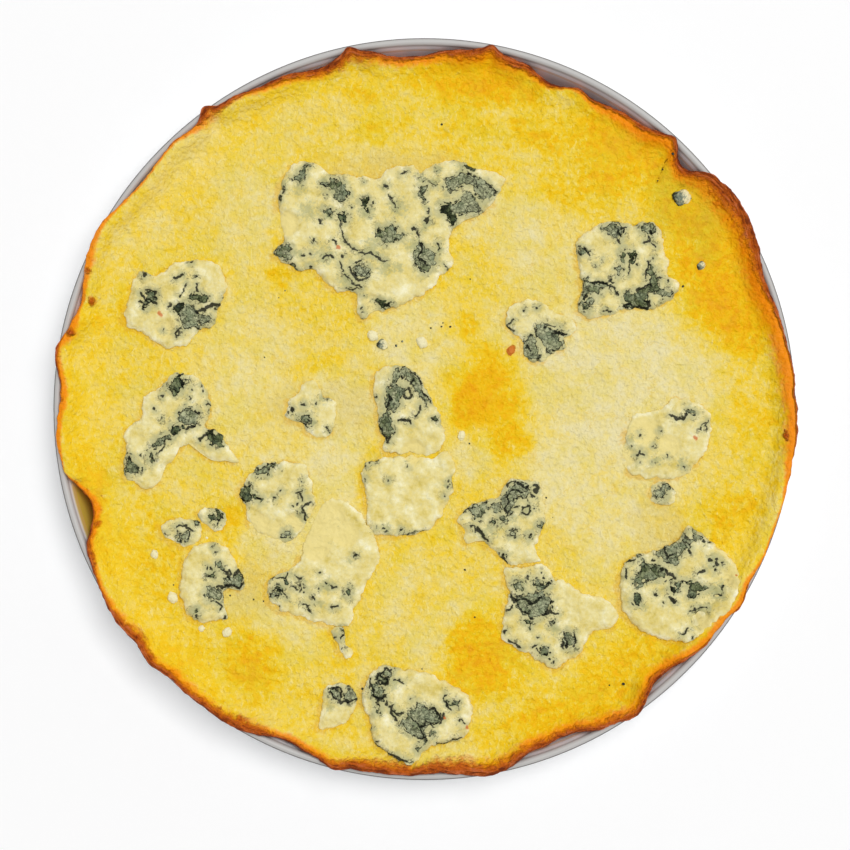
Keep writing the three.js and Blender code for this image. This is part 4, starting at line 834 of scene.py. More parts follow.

# The crust's browning, and painted shade at its edge towards -y: azimuth, how far orange and brown reach in
# from it.
rimBands = [
    (0, 5, 1), (6, 6, .8), (12, 6, 1), (18, 7, 2), (24, 8, 3.5), (30, 9, 5), (36, 10, 6), (40, 8, 4),
    (44, 5, 3), (48, 6, 2), (54, 6, 1.8), (60, 4, 1.5), (66, 1.5, .8), (72, 4, 2.5), (78, 5.5, 3.4),
    (84, 5.5, 3.2), (90, 4, 1.5), (96, 4.5, 2), (102, 5.5, 4.5), (108, 4.5, 2.8), (114, 3.5, 1.8),
    (120, 2, 1), (124, 3, 2.4), (126.5, 6.5, 4.6), (129, 2.5, .5), (133, 1.2, .4), (138, 1, .25),
    (144, 1, .25), (150, 1.5, .1), (156, 3.6, .2), (160, 2, .1), (164, 1, .1), (168, 4.5, .2),
    (171, 2.5, 1.6), (178, 3, .2), (184, 2, .1), (190, .5, .1), (196, 4, 1), (204, 3, 1.5), (209, 2, .8),
    (214, 4, 2), (218, 5, 4), (224, 4, 2.5), (228, 4.6, 2.2), (236, 4, 3), (240, 5.5, 4.4), (246, 2.8, 1.1),
    (252, 3.5, 1.3), (257, 4.5, 3.6), (264, 5, 4), (270, 4, 3.5), (276, 6.5, 5.4), (282, 5.5, 4),
    (288, 5.5, 2.8), (294, 5, 2.6), (300, 5.5, 2.6), (306, 5, 2.8), (312, 5, 2.4), (318, 3.4, .7),
    (324, 2.5, .2), (330, 2.6, .6), (336, 1.2, .1), (345, .8, .1), (350, 2.4, .2), (354, 4.6, .5),
]

# Folds and cracks in the crust: a line seen from above, half width, depth with a minus for a ridge, browning.
crustFolds = [
    ([(94.5, 98), (91, 93.5), (88, 85.5)], .5, 1, .6),
    ([(98, 90), (106, 86), (115, 78), (122, 65), (127.5, 50)], 1, 1, .5),
    ([(104, 91), (112, 86), (119.5, 77), (126, 63), (130.5, 48)], .9, .8, .3),
    ([(102, 93), (113, 87), (122, 77), (129, 62), (132, 49)], 1.6, -.6, .1),
    ([(96, 87), (104, 82), (113, 74), (119, 63), (125, 48)], 1.6, -.5, 0),
    ([(-133, -26), (-126, -31), (-121.5, -33), (-121, -36), (-124, -41)], .8, 1, .5),
    ([(131, -20), (130.5, -38), (125, -62)], .8, .35, .12),
    ([(65, -108.5), (70, -104.5), (75.3, -104), (80, -106)], .5, .9, .35),
    ([(-72, -114), (-69, -117), (-66, -119)], 1, .5, .5), ([(48, 121.5), (49.5, 119)], .6, .6, .4),
    ([(135.5, 8), (134.5, 2)], .6, .5, .4), ([(136, -8), (136.5, -12)], .7, .4, .8),
    ([(50, -117), (51, -121)], .5, .5, .3), ([(-102, -97), (-99, -100)], .9, .4, .5),
    ([(-110, -84), (-106, -89)], 1, .4, .6), ([(60, 112), (66, 108), (74, 106)], .8, .4, .25),
    ([(83, -108), (80, -110.5)], .7, .5, .6), ([(45, -126), (41, -128)], .7, .4, .6),
    ([(-127, -44), (-126, -52), (-124, -58)], 1.2, .3, .75),
    ([(-74, 22), (-80, 20), (-85, 15), (-87, 9)], .8, .3, .1),
    ([(56, -15), (59, -16.5), (58, -19)], .5, .3, .3),
    ([(-2, 133), (5, 123), (9, 112), (6, 104)], .9, .25, .05),
    ([(104, 26), (107, 36), (103, 45)], .8, .25, .1), ([(112, 52), (105, 58), (104, 68)], .9, .25, .05),
    ([(-108, -34), (-100, -38), (-92, -36)], .8, .25, .05),
]

# Small browned or reddened spots on the crust: x, y, radius, browning.
crustSpots = [
    (-126.5, 52, 2.2, .8), (-125.5, 40, 1.8, .8), (-133, 29, 2.6, .85), (-136.5, 4, 2, .7),
    (-137.5, 20, 2, .6), (136, -10, 1.6, .9), (-123.5, -43, 3, .8), (-28.5, 134.5, 2.5, .7),
    (25.5, 135.5, 2.5, .7), (-82, 112, 3, .8), (-70, -117, 3, .8), (-102, -98, 2.6, .7), (-125, 41, 2.6, .75),
    (120, -72, 2, .4), (50, -118.5, 1.4, .5), (52.5, -121, 1.2, .5), (72, 102, 3, .3), (33.5, 23.5, 1.6, .8),
]

baseShape = {
    "sectors": 960, "spacing": 1.05, "lowUnderPieces": .8, "curdSize": 3.2, "curds": .24, "blisters": .34,
    "blisterSize": 10, "collar": .12, "crustRough": .5, "crustRoughSize": 2.3, "crustLayers": .34,
    "crustLayerSize": 1.7, "rimReach": 1.15, "rimRadius": 138, "rimUneven": .3, "innerRadius": 118,
    "lipClear": .38, "sideRough": .22, "zoneWander": 3.2, "zoneWanderSize": 11, "fullestZone": .5,
    "collarWidth": 1.1, "roughWidth": (9, 1), "layersWidth": (6, 1.5), "footInset": 3, "turnInset": 1.1,
    "lipInset": .8, "crestInset": .95, "crestDrop": .08, "crestWidth": 3, "smallestRing": 2,
    # The side on the tin's wall: height, and how far it is drawn in from the edge.
    "wallRows": [(3.8, 1.2), (6.6, .8), (9.5, .5), (12, .3), (14.6, .1)],
    # The crust's outer face: how far it is drawn in, how far up it is, and its share of the rough crest.
    "crustRows": [(.15, .22, 0), (0, .45, 0), (.12, .68, .4), (.5, .87, .8)],
    # Rings on top of the crust, by their distance from the edge.
    "crustInsets": [1.5, 2.1, 2.7, 3.4, 4.1, 4.9, 5.7, 6.6, 7.5, 8.4, 9.4, 10.4],
}


def zoneShare(x, y, centreX, centreY, halfX, halfY, strength, turn=0):
    cosine, sine = math.cos(math.radians(turn)), math.sin(math.radians(turn))
    offX, offY = x - centreX, y - centreY
    away = np.hypot((offX * cosine + offY * sine) / halfX, (offY * cosine - offX * sine) / halfY)
    return strength * smoothStep(1.35, .45, away)


def zoneStrength(x, y, zones, seed):
    warpX, warpY = (
        along + baseShape["zoneWander"] * roughNoise(x, y, baseShape["zoneWanderSize"], wanderSeed, 3)
        for along, wanderSeed in ((x, seed), (y, seed + 40)))
    fullest = baseShape["fullestZone"]
    return fullest * np.tanh(sum(zoneShare(warpX, warpY, *zone) for zone in zones) / fullest)


# Distance from the outside of the nearest blue cheese piece, below 0 under it.
def pieceDistance(x, y, reach=9):
    nearest = np.full(x.shape, float(reach))
    for piece in cheesePieces.values():
        outline = smoothOutline(piece["outline"], 90)
        low, high = outline.min(axis=0) - reach, outline.max(axis=0) + reach
        close = (x > low[0]) & (x < high[0]) & (y > low[1]) & (y < high[1])
        nearest[close] = np.minimum(nearest[close], outlineDistance(x[close], y[close], outline.tolist()))
    return nearest


def baseFields(x, y, edge):
    azimuth = azimuthOf(x, y)
    inwards = edge - np.hypot(x, y)
    azimuths, orangeReach, brownReach = (np.array(column, float) for column in zip(*rimBands))
    fields = {
        kind: zoneStrength(x, y, zones, 60 + index) for index, (kind, zones) in enumerate(toneZones.items())}
    for field, reaches, full in (("orangeRim", orangeReach, 2.4), ("brownRim", brownReach, 1.2)):
        reach = np.interp(azimuth, azimuths, reaches, period=360) * baseShape["rimReach"]
        fields[field] = np.clip(1 - inwards / np.maximum(reach, .3), -1, smoothStep(0, full, reach))
    browned = fromSpots(
        x, y, crustSpots, lambda away, radius, browning: browning * np.exp(-(away / radius) ** 2))
    for line, halfWidth, depth, browning in crustFolds:
        browned = np.maximum(browned, browning * np.exp(-(lineDistance(x, y, line) / (1.1 * halfWidth)) ** 2))
    fields["browned"], fields["inwards"] = browned, inwards
    # The shaded side of the pieces is the one away from the light.
    fields["besidePiece"] = pieceDistance(x + .9, y + .7) + 9 * meltedShare(x, y)
    return fields


def baseRelief(x, y, edge):
    shape = baseShape
    inwards = edge - np.hypot(x, y)
    relief = shape["curds"] * roughNoise(x, y, shape["curdSize"], 7, 2)
    relief += shape["blisters"] * roughNoise(x, y, shape["blisterSize"], 11, 2)
    beside = pieceDistance(x, y)
    relief += shape["collar"] * np.exp(-(np.maximum(beside, 0) / shape["collarWidth"]) ** 2)
    relief -= (shape["lowUnderPieces"] + shape["collar"]) * smoothStep(-.6, -1.8, beside)
    for line, halfWidth, depth, browning in crustFolds:
        relief -= depth * np.exp(-(lineDistance(x, y, line) / halfWidth) ** 2)
    rough = smoothStep(*shape["roughWidth"], inwards)
    relief += shape["crustRough"] * rough * roughNoise(x, y, shape["crustRoughSize"], 31, 3)
    layers = roughNoise(.6 * azimuthOf(x, y), inwards, shape["crustLayerSize"], 37, 2)
    relief += shape["crustLayers"] * smoothStep(*shape["layersWidth"], inwards) * layers
    return relief


# How far the tin's wall is from the middle, inside, at that height.
def insideWall(height):
    foot = tin["sheet"] + tin["cornerRadius"]
    share = (height - foot) / (tin["height"] - tin["beadRadius"] - foot)
    return tin["floorRadius"] + (tin["lipRadius"] - 2 * tin["beadRadius"] - tin["floorRadius"]) * share


# Keeps a point of the crust clear of the tin's wall and lip.
def clearOfTin(radius, height):
    beadX, beadZ = tin["lipRadius"] - tin["beadRadius"], tin["height"] - tin["beadRadius"]
    away = np.maximum(np.hypot(radius - beadX, height - beadZ), 1e-6)
    push = np.maximum(1, (tin["beadRadius"] + baseShape["lipClear"]) / away)
    above = height >= beadZ
    radius = np.where(above, beadX + (radius - beadX) * push, radius)
    height = np.where(above, beadZ + (height - beadZ) * push, height)
    inside = np.minimum(radius, insideWall(height) - pizza["wallGap"])
    return np.where(height < beadZ, inside, radius), height


def rimUnevenness(turn, size, seed):
    radius = baseShape["rimRadius"]
    return baseShape["rimUneven"] * roughNoise(radius * np.cos(turn), radius * np.sin(turn), size, seed, 3)


# How many of a ring's points are left out, so that faces stay about as wide as they are long.
def thinningAt(radius):
    return 1 if radius > 78 else 2 if radius > 39 else 4 if radius > 20 else 8 if radius > 10 else 16


def basePoints():
    shape = baseShape
    sectors = shape["sectors"] // 1
    spacing = shape["spacing"] * 1
    azimuth = np.arange(sectors) * 360 / sectors
    edge = edgeRadius(azimuth)
    over, crest = overLip(edge), crestHeight(azimuth, edge)
    turn = np.radians(azimuth)
    raggedEdge = edge + rimUnevenness(turn, 4.5, 51)
    raggedCrest = rimUnevenness(turn, 6, 55)
    sideTop = tin["height"] - pizza["sideBelowLip"]
    underside = sideTop + (tin["height"] + pizza["lipGap"] - sideTop) * over
    turnOut = np.minimum(insideWall(tin["height"]) - shape["turnInset"], edge)
    bottomRadius = np.minimum(tin["floorRadius"], edge) - shape["footInset"]
    section = [(bottomRadius * share, pizza["bottom"] + 0 * edge) for share in (.5, .8, 1)]
    for height, drawnIn in shape["wallRows"]:
        wallSide = np.minimum(insideWall(height) - pizza["wallGap"], raggedEdge - drawnIn)
        section.append((wallSide, height + 0 * edge))
    lipOut = np.maximum(turnOut, raggedEdge - shape["lipInset"])
    section.append((turnOut, underside))
    wallRings = len(section)
    section += [((turnOut + lipOut) / 2, underside + .1), (lipOut, underside + .2)]
    for drawnIn, rise, ragged in shape["crustRows"]:
        section.append((raggedEdge - drawnIn, underside + rise * (crest - underside) + ragged * raggedCrest))
    section.append((raggedEdge - shape["crestInset"], crest - shape["crestDrop"] + raggedCrest))
    rings = []
    for radius, height in section:
        radius, height = clearOfTin(radius, height)
        rings.append(np.stack([radius * np.cos(turn), radius * np.sin(turn), height], 1))
    firstInner = len(rings)
    insets = shape["crustInsets"]
    innerRadii = [(raggedEdge - inset, 1) for inset in insets]
    steps, last = 8, raggedEdge - insets[-1]
    for step in range(1, steps + 1):
        innerRadii.append((last + (shape["innerRadius"] - last) * step / steps, 1))
    radius = shape["innerRadius"] - spacing
    while radius > shape["smallestRing"]:
        innerRadii.append((np.full(sectors, radius), thinningAt(radius)))
        radius -= spacing
    for radius, thinning in innerRadii:
        radius, part = radius[::thinning], turn[::thinning]
        rings.append(np.stack([radius * np.cos(part), radius * np.sin(part), 0 * part], 1))
    counts = [len(ring) for ring in rings]
    points = ringsToPoints([0, 0, pizza["bottom"]], rings, [0, 0, 0])
    outer = 1 + sum(counts[:firstInner])
    x, y = points[outer:, 0], points[outer:, 1]
    around = np.arctan2(y, x)
    fineEdge = edgeRadius(azimuthOf(x, y)) + rimUnevenness(around, 4.5, 51)
    crestPart = np.exp(-(np.maximum(0, fineEdge - np.hypot(x, y)) / shape["crestWidth"]) ** 2)
    uneven = crestPart * rimUnevenness(around, 6, 55)
    points[outer:, 2] = surfaceHeight(x, y) + uneven + baseRelief(x, y, fineEdge)
    # The side is roughened too, from where the crust leaves the wall.
    side = slice(1 + sum(counts[:wallRings]), outer)
    azimuthSide = azimuthOf(points[side, 0], points[side, 1])
    rough = shape["sideRough"] * roughNoise(azimuthSide * 2.4, points[side, 2] * 1.6, 2.2, 71, 2)
    radiusSide = np.hypot(points[side, 0], points[side, 1]) + rough
    radiusSide, heightSide = clearOfTin(radiusSide, points[side, 2])
    turnSide = np.radians(azimuthSide)
    points[side] = np.stack([radiusSide * np.cos(turnSide), radiusSide * np.sin(turnSide), heightSide], 1)
    allEdge = edgeRadius(azimuthOf(points[:, 0], points[:, 1]))
    fields = baseFields(points[:, 0], points[:, 1], allEdge)
    return points, bodyFaces(counts), fields


lumpShape = {"swell": .24, "swellPace": 1.3, "fineSwell": .1, "finePace": 3.1, "narrowing": .85}
lumpShading = {"rimDarker": .45, "rimFrom": .75, "sideLighter": .4, "leastMixed": .2, "mostMixed": .9}


# A small uneven lump that sits in the surface.
def lumpPoints(x, y, radius, flat, around, rows, seed):
    tilt = np.pi * (np.arange(1, rows) / rows)
    turn = 2 * np.pi * np.arange(around) / around
    tilts, turns = np.meshgrid(np.pi - tilt, turn, indexing="ij")
    lumpX, lumpY, lumpZ = np.sin(tilts) * np.cos(turns), np.sin(tilts) * np.sin(turns), np.cos(tilts)
    shape = lumpShape
    pace, finePace = shape["swellPace"], shape["finePace"]
    swell = 1 + shape["swell"] * softNoise(lumpX * pace + lumpZ, lumpY * pace - lumpZ, 1, seed)
    swell += shape["fineSwell"] * softNoise(lumpX * finePace - lumpZ, lumpY * finePace + lumpZ, 1, seed + 1)
    points = [lumpX * swell, lumpY * shape["narrowing"] * swell, lumpZ * flat * swell]
    points = np.stack(points, -1).reshape(-1, 3) * radius
    points = np.vstack([[[0, 0, -flat * radius]], points, [[0, 0, flat * radius]]])
    cosine, sine = math.cos(x), math.sin(x)
    turnedX = points[:, 0] * cosine - points[:, 1] * sine + x
    turnedY = points[:, 0] * sine + points[:, 1] * cosine + y
    height = surfaceHeight(np.array([x]), np.array([y]))[0]
    return np.stack([turnedX, turnedY, points[:, 2] + height], 1), bodyFaces([around] * (rows - 1))


def joinLumps(lumps):
    look = lumpShading
    points, faces, dark = [], [], []
    total = 0
    for lumpPart, lumpFaces, darkness in lumps:
        points.append(lumpPart)
        faces += [[corner + total for corner in face] for face in lumpFaces]
        offset = lumpPart - lumpPart.mean(axis=0)
        across = np.hypot(offset[:, 0], offset[:, 1])
        uneven = look["rimDarker"] * smoothStep(look["rimFrom"], 1, across / across.max())
        uneven -= look["sideLighter"] * offset[:, 0] / across.max()
        dark.append(darkness + uneven * (look["leastMixed"] < darkness < look["mostMixed"]))
        total += len(lumpPart)
    return np.vstack(points), faces, {"darkness": np.concatenate(dark)}


tinShape = {
    "sides": 256, "beadSteps": 28, "cornerSteps": 8, "wallSteps": 36,
    "greasy": [(-128, -39, 16), (117, 81, 9)], "brownBandTop": 16.4, "brownBandFoot": 14.6,
}


# Evenly spaced points between two points, without either.
def between(start, end, steps):
    start, end = np.array(start), np.array(end)
    return [tuple(start + (end - start) * step / steps) for step in range(1, steps)]


def tinPoints():
    shape = tinShape
    beadX, beadZ = tin["lipRadius"] - tin["beadRadius"], tin["height"] - tin["beadRadius"]
    cornerX = tin["floorRadius"] - tin["cornerRadius"]
    turns = np.radians(np.linspace(0, tin["cornerTurn"], shape["cornerSteps"]))
    reach = tin["cornerRadius"]
    outsideReach = reach + tin["sheet"]
    profile = [(radius, 0) for radius in (40, 90, 120)]
    profile += [(cornerX + outsideReach * np.sin(turn), outsideReach * (1 - np.cos(turn))) for turn in turns]
    angles = np.radians(np.linspace(-105, 180, shape["beadSteps"]))
    bead = [
        (beadX + tin["beadRadius"] * np.cos(angle), beadZ + tin["beadRadius"] * np.sin(angle))
        for angle in angles]
    profile += between(profile[-1], bead[0], shape["wallSteps"]) + bead
    outerRings = len(profile)
    inside = [
        (cornerX + reach * np.sin(turn), tin["sheet"] + reach * (1 - np.cos(turn)))
        for turn in turns[::-1]]
    profile += between(bead[-1], inside[0], shape["wallSteps"]) + inside
    profile += [(radius, tin["sheet"]) for radius in (120, 90, 40)]
    turn = 2 * np.pi * np.arange(shape["sides"]) / shape["sides"]
    rings = [
        np.stack([radius * np.cos(turn), radius * np.sin(turn), 0 * turn + height], 1)
        for radius, height in profile]
    points = ringsToPoints([0, 0, 0], rings, [0, 0, tin["sheet"]])
    # Yellow on the wall at the listed spots: partly baked-on grease, partly painted reflection of the yellow
    # crust.
    greasy = fromSpots(
        points[:, 0], points[:, 1], shape["greasy"],
        lambda away, radius: smoothStep(radius, .6 * radius, away))
    greasy *= smoothStep(tin["height"] - 2, tin["height"] - 4, points[:, 2])
    # A brown band low on the inside of the wall, just above the crust.
    tide = smoothStep(shape["brownBandTop"], shape["brownBandTop"] - .5, points[:, 2])
    tide *= smoothStep(shape["brownBandFoot"], shape["brownBandFoot"] + .5, points[:, 2])
    for field in (greasy, tide):
        field[:1 + shape["sides"] * outerRings] = 0
    return points, bodyFaces([len(ring) for ring in rings]), {"greasy": greasy, "tide": tide}

# sRGB 0 to 255 as a linear colour.
def colour(red, green, blue):
    channels = [value / 255 for value in (red, green, blue)]
    linear = [value / 12.92 if value <= .04045 else ((value + .055) / 1.055) ** 2.4 for value in channels]
    return (*linear, 1)


# A value in a node tree. It adds and multiplies as a number does, and each step makes a node.
class Value:
    def __init__(self, graph, socket):
        self.graph, self.socket = graph, socket

    def __add__(self, other):
        return self.graph.math("ADD", self, other)

    def __sub__(self, other):
        return self.graph.math("SUBTRACT", self, other)

    def __mul__(self, other):
        return self.graph.math("MULTIPLY", self, other)

    def __truediv__(self, other):
        return self.graph.math("DIVIDE", self, other)

    def __abs__(self):
        return self.graph.math("ABSOLUTE", self)

    def atLeast(self, other):
        return self.graph.math("MAXIMUM", self, other)

    def atMost(self, other):
        return self.graph.math("MINIMUM", self, other)

    # Runs smoothly from toLow to toHigh while this value runs from low to high.
    def fit(self, low, high, toLow=0, toHigh=1):
        values = {"Value": self, "From Min": low, "From Max": high, "To Min": toLow, "To Max": toHigh}
        return self.graph.add("MapRange", values, interpolation_type="SMOOTHSTEP")


# Short ways to add nodes to one node tree. What a node is given may be a number, a colour or a Value.
class Graph:
    def __init__(self, tree):
        self.tree = tree

    def give(self, socket, value):
        if isinstance(value, Value):
            self.tree.links.new(value.socket, socket)
        else:
            socket.default_value = value

    def add(self, kind, inputs, output=0, **settings):
        node = self.tree.nodes.new("ShaderNode" + kind)
        for setting, value in settings.items():
            setattr(node, setting, value)
        for socket, value in inputs.items():
            self.give(node.inputs[socket], value)
        return Value(self, node.outputs[output])

    def math(self, operation, *values):
        return self.add("Math", dict(enumerate(values)), operation=operation)

    def vector(self, operation, *values, output=0):
        return self.add("VectorMath", dict(enumerate(values)), output, operation=operation)

    def scaled(self, place, scale):
        return self.add("VectorMath", {0: place, "Scale": scale}, operation="SCALE")

    def mix(self, share, first, second):
        first, second = (colour(*shade) if isinstance(shade, tuple) else shade for shade in (first, second))
        return self.add("Mix", {0: share, 6: first, 7: second}, 2, data_type="RGBA")

    # Millimetres in the part's frame.
    def place(self):
        return self.scaled(self.add("TexCoord", {}, 3), 1 / millimetre)

    # Noise from 0 to 1 with lumps of that size in millimetres.
    def noise(self, place, size, detail=2, rough=.5, distortion=0, output=0):
        scale = self.math("DIVIDE", 1, size) if isinstance(size, Value) else 1 / size
        values = {"Vector": place, "Scale": scale, "Detail": detail, "Roughness": rough}
        return self.add("TexNoise", {**values, "Distortion": distortion}, output)

    # Noise about 0.
    def swing(self, *settings):
        return self.noise(*settings) - .5

    def shift(self, place, size, amount):
        offset = self.vector("SUBTRACT", self.noise(place, size, 1, output=1), (.5, .5, .5))
        return self.vector("ADD", place, self.scaled(offset, amount))

    def cells(self, place, size, feature="F1", output=0):
        return self.add("TexVoronoi", {"Vector": place, "Scale": 1 / size}, output, feature=feature)

    def field(self, name):
        return self.add("Attribute", {}, 2, attribute_name=name)

    def ramp(self, value, stops):
        node = self.tree.nodes.new("ShaderNodeValToRGB")
        elements = node.color_ramp.elements
        while len(elements) < len(stops):
            elements.new(.5)
        for element, (place, shade) in zip(elements, stops):
            element.position, element.color = place, colour(*shade)
        self.give(node.inputs[0], value)
        return Value(self, node.outputs[0])

    def group(self, tree, inputs):
        node = self.tree.nodes.new("ShaderNodeGroup")
        node.node_tree = tree
        for socket, value in inputs.items():
            self.give(node.inputs[socket], value)
        return {socket.name: Value(self, socket) for socket in node.outputs}

    def bump(self, height, strength):
        return self.add("Bump", {"Height": height, "Strength": strength, "Distance": millimetre})


# A shader node group from its inputs and a function that makes its outputs out of them.
def newGroup(name, inputs, outputs, make):
    tree = bpy.data.node_groups.new(name, "ShaderNodeTree")
    for socket, value in inputs.items():
        given = tree.interface.new_socket(socket, in_out="INPUT", socket_type="NodeSocketFloat")
        given.default_value = value
    for socket in outputs:
        tree.interface.new_socket(socket, in_out="OUTPUT", socket_type="NodeSocketFloat")
    graph = Graph(tree)
    entry, leaving = tree.nodes.new("NodeGroupInput"), tree.nodes.new("NodeGroupOutput")
    made = make(graph, *(Value(graph, entry.outputs[socket]) for socket in inputs))
    for socket, value in zip(outputs, made):
        graph.give(leaving.inputs[socket], value)
    return tree


# A ragged mask from a smooth distance: 1 where the distance is below the edge.
def makeRaggedMask(graph, distance, edge, softness, wander, grain):
    away = distance + graph.swing(graph.place(), grain, 3, .62) * wander - edge
    return [(away * -1 / softness).fit(-1, 1)]


# Melted cheese: pale flecks, golden threads round the curds, blotches, and their height.
def makeCurds(graph, size):
    place = graph.scaled(graph.place(), graph.math("DIVIDE", 1, size))
    bent = graph.shift(place, 3.4, 2.8)
    flecks = graph.noise(graph.vector("MULTIPLY", bent, (1.5, .6, 1)), 1.3).fit(.53, .72)
    threads = abs(graph.swing(bent, 3.6, 2, .5, .7)).fit(.03, 0) * graph.noise(place, 5.5).fit(.48, .64)
    blotches = graph.noise(bent, 2.7, 3, .6)
    height = graph.noise(place, 1.6) * .95 + graph.noise(place, .6) * .13 + blotches * .24 + flecks * .04
    return flecks, threads, blotches, height


raggedMask = newGroup(
    "raggedMask", {"Distance": 0, "Edge": 0, "Softness": .2, "Ragged": .5, "Grain": 1}, ["Mask"],
    makeRaggedMask)
curds = newGroup("curds", {"Size": 1}, ["Flecks", "Threads", "Blotches", "Height"], makeCurds)


def newMaterial(name):
    material = bpy.data.materials.new(name)
    material.use_nodes = True
    return material, Graph(material.node_tree)


def setShader(material, graph, values):
    for socket, value in values.items():
        graph.give(material.node_tree.nodes["Principled BSDF"].inputs[socket], value)
    return material


def ragged(graph, distance, edge, softness, wander, grain):
    given = {"Distance": distance, "Edge": edge, "Softness": softness, "Ragged": wander, "Grain": grain}
    return graph.group(raggedMask, given)["Mask"]


bakedLook = {
    "shades": [
        (0, (236, 224, 170)), (.16, (238, 220, 142)), (.31, (240, 214, 106)), (.47, (243, 209, 62)),
        (.62, (242, 199, 16)), (.78, (243, 186, 0)), (1, (238, 164, 0))],
    "green": (226, 204, 48), "thread": (226, 182, 28), "sunny": (255, 214, 44), "orange": (246, 180, 0),
    "olive": (198, 186, 44), "dull": (214, 196, 130), "shadow": (226, 176, 50), "paleFleckAndGlint": (252, 236, 158),
    "redOrange": (250, 140, 0), "brown": (216, 100, 26), "paintedRidgeHighlight": (232, 128, 78),
    "darkBrown": (124, 48, 18), "plainRichness": .54, "roughness": .45, "specular": .1, "gloss": .05,
    "glossRoughness": .2, "relief": 1.15,
}


def bakedCheeseMaterial():
    look = bakedLook
    material, graph = newMaterial("bakedCheese")
    place = graph.place()
    curd = graph.group(curds, {"Size": 1})
    broad, middle = graph.swing(place, 11, 3, .6), curd["Blotches"] - .5
    patchy = graph.swing(graph.shift(place, 6, 4), 5, 2, .55)
    richness = graph.field("golden") + look["plainRichness"] - graph.field("pale") + broad * .45 + patchy * .6
    richness = richness - curd["Blotches"].fit(.36, .66, -.5, .5) * richness.fit(.35, .8, .15, .33)
    richness = richness - curd["Flecks"] * .08
    shade = graph.ramp(richness * .78, look["shades"])
    greenish = graph.noise(graph.shift(place, 9, 6), 13, 3, .6)
    shade = graph.mix(greenish.fit(.46, .64, 0, .3), shade, look["green"])
    shade = graph.mix(curd["Threads"] * .35, shade, look["thread"])
    # Painted light: brighter yellow where the edge faces away from the lamp.
    shade = graph.mix(graph.field("sunny").fit(0, .8, 0, .6), shade, look["sunny"])
    orange = graph.field("orange") + (broad + middle) * .5
    shade = graph.mix(orange.fit(.15, .8, 0, .75), shade, look["orange"])
    for zone, low, high, share in (("olive", .05, .75, .6), ("dull", 0, .6, .55)):
        shade = graph.mix((graph.field(zone) + broad * .5).fit(low, high, 0, share), shade, look[zone])
    shadow = graph.field("besidePiece") + (patchy + middle) * 5
    shade = graph.mix(shadow.fit(1.2, -.4, 0, .5), shade, look["shadow"])
    # Pale curd flecks, which also serve as painted highlights for small glints.
    shade = graph.mix(curd["Flecks"] * richness.fit(.9, .4, 0, .4), shade, look["paleFleckAndGlint"])

    browned = graph.field("browned") * 2 - 1.1
    orangeRim = graph.field("orangeRim").atLeast(browned + .2) + middle * .9
    shade = graph.mix(orangeRim.fit(-.1, .55, 0, .92), shade, look["redOrange"])
    brownRim = graph.field("brownRim").atLeast(browned) + middle * 1.1
    shade = graph.mix(brownRim.fit(0, .6, 0, .9), shade, look["brown"])
    # The crust's layers run along its edge.
    inwards = graph.add("CombineXYZ", {2: graph.field("inwards")})
    layers = graph.vector("MULTIPLY_ADD", place, (.2, .2, 0), inwards)
    ridges = graph.noise(graph.shift(layers, 2.2, 1.2), 1, 3, .62)
    # Painted highlight along the crust's ridges.
    shade = graph.mix(ridges.fit(.52, .66, 0, .8) * brownRim.fit(.1, .5), shade, look["paintedRidgeHighlight"])
    charred = brownRim.atMost(.9) - ridges * 2.2
    shade = graph.mix(charred.fit(-.62, 0, 0, .9), shade, look["darkBrown"])

    rimHeight = graph.noise(place, .8, 4, .7) * .5 + ridges
    bump = graph.bump(curd["Height"] + brownRim.fit(-.2, .6, 0, 1.8) * rimHeight, look["relief"])
    roughness = graph.noise(place, 1.3) * .2 + look["roughness"] + orangeRim.fit(.1, .8, 0, -.12)
    return setShader(material, graph, {
        "Base Color": shade, "Roughness": roughness, "Specular IOR Level": look["specular"], "Normal": bump,
        "Coat Weight": look["gloss"], "Coat Roughness": look["glossRoughness"], "Coat Normal": bump})


blueLook = {
    "shades": [(0, (214, 193, 96)), (.3, (228, 210, 130)), (.65, (237, 225, 163)), (1, (250, 245, 208))],
    "meltedShades": [(.2, (235, 212, 106)), (.8, (237, 219, 142))],
    "veinTones": [
        (0, (190, 192, 150)), (.3, (154, 160, 120)), (.5, (130, 138, 97)), (.75, (90, 100, 64)),
        (1, (40, 46, 26))],
    "veinBlue": (116, 138, 122), "outline": (16, 19, 10), "stain": (186, 184, 138), "mould": (166, 168, 118),
    "rust": (204, 96, 20), "roughness": .42, "specular": .12, "relief": .9,
}


# Grey and green facets of mould with dark winding lines between them.
def veinColour(graph, place, tone, fine, facet, facetEdge):
    look = blueLook
    toned = tone * 1.3 - .31 + (fine - .5) * .35 + (facet - .5) * .55
    shade = graph.ramp(toned, look["veinTones"])
    bluish = graph.noise(place, 4.2).fit(.44, .66, 0, .5)
    shade = graph.mix(bluish, shade, graph.mix(.5, shade, look["veinBlue"]))
    winding = abs(graph.swing(graph.shift(place, 2.2, 1.8), 2.2, 2, .5, .8))
    shade = graph.mix(winding.fit(.035, .008, 0, .6), shade, look["outline"])
    parted = facetEdge.fit(.08, .03, 0, .6) * graph.noise(place, 2.6).fit(.5, .58)
    return graph.mix(parted, shade, look["outline"])


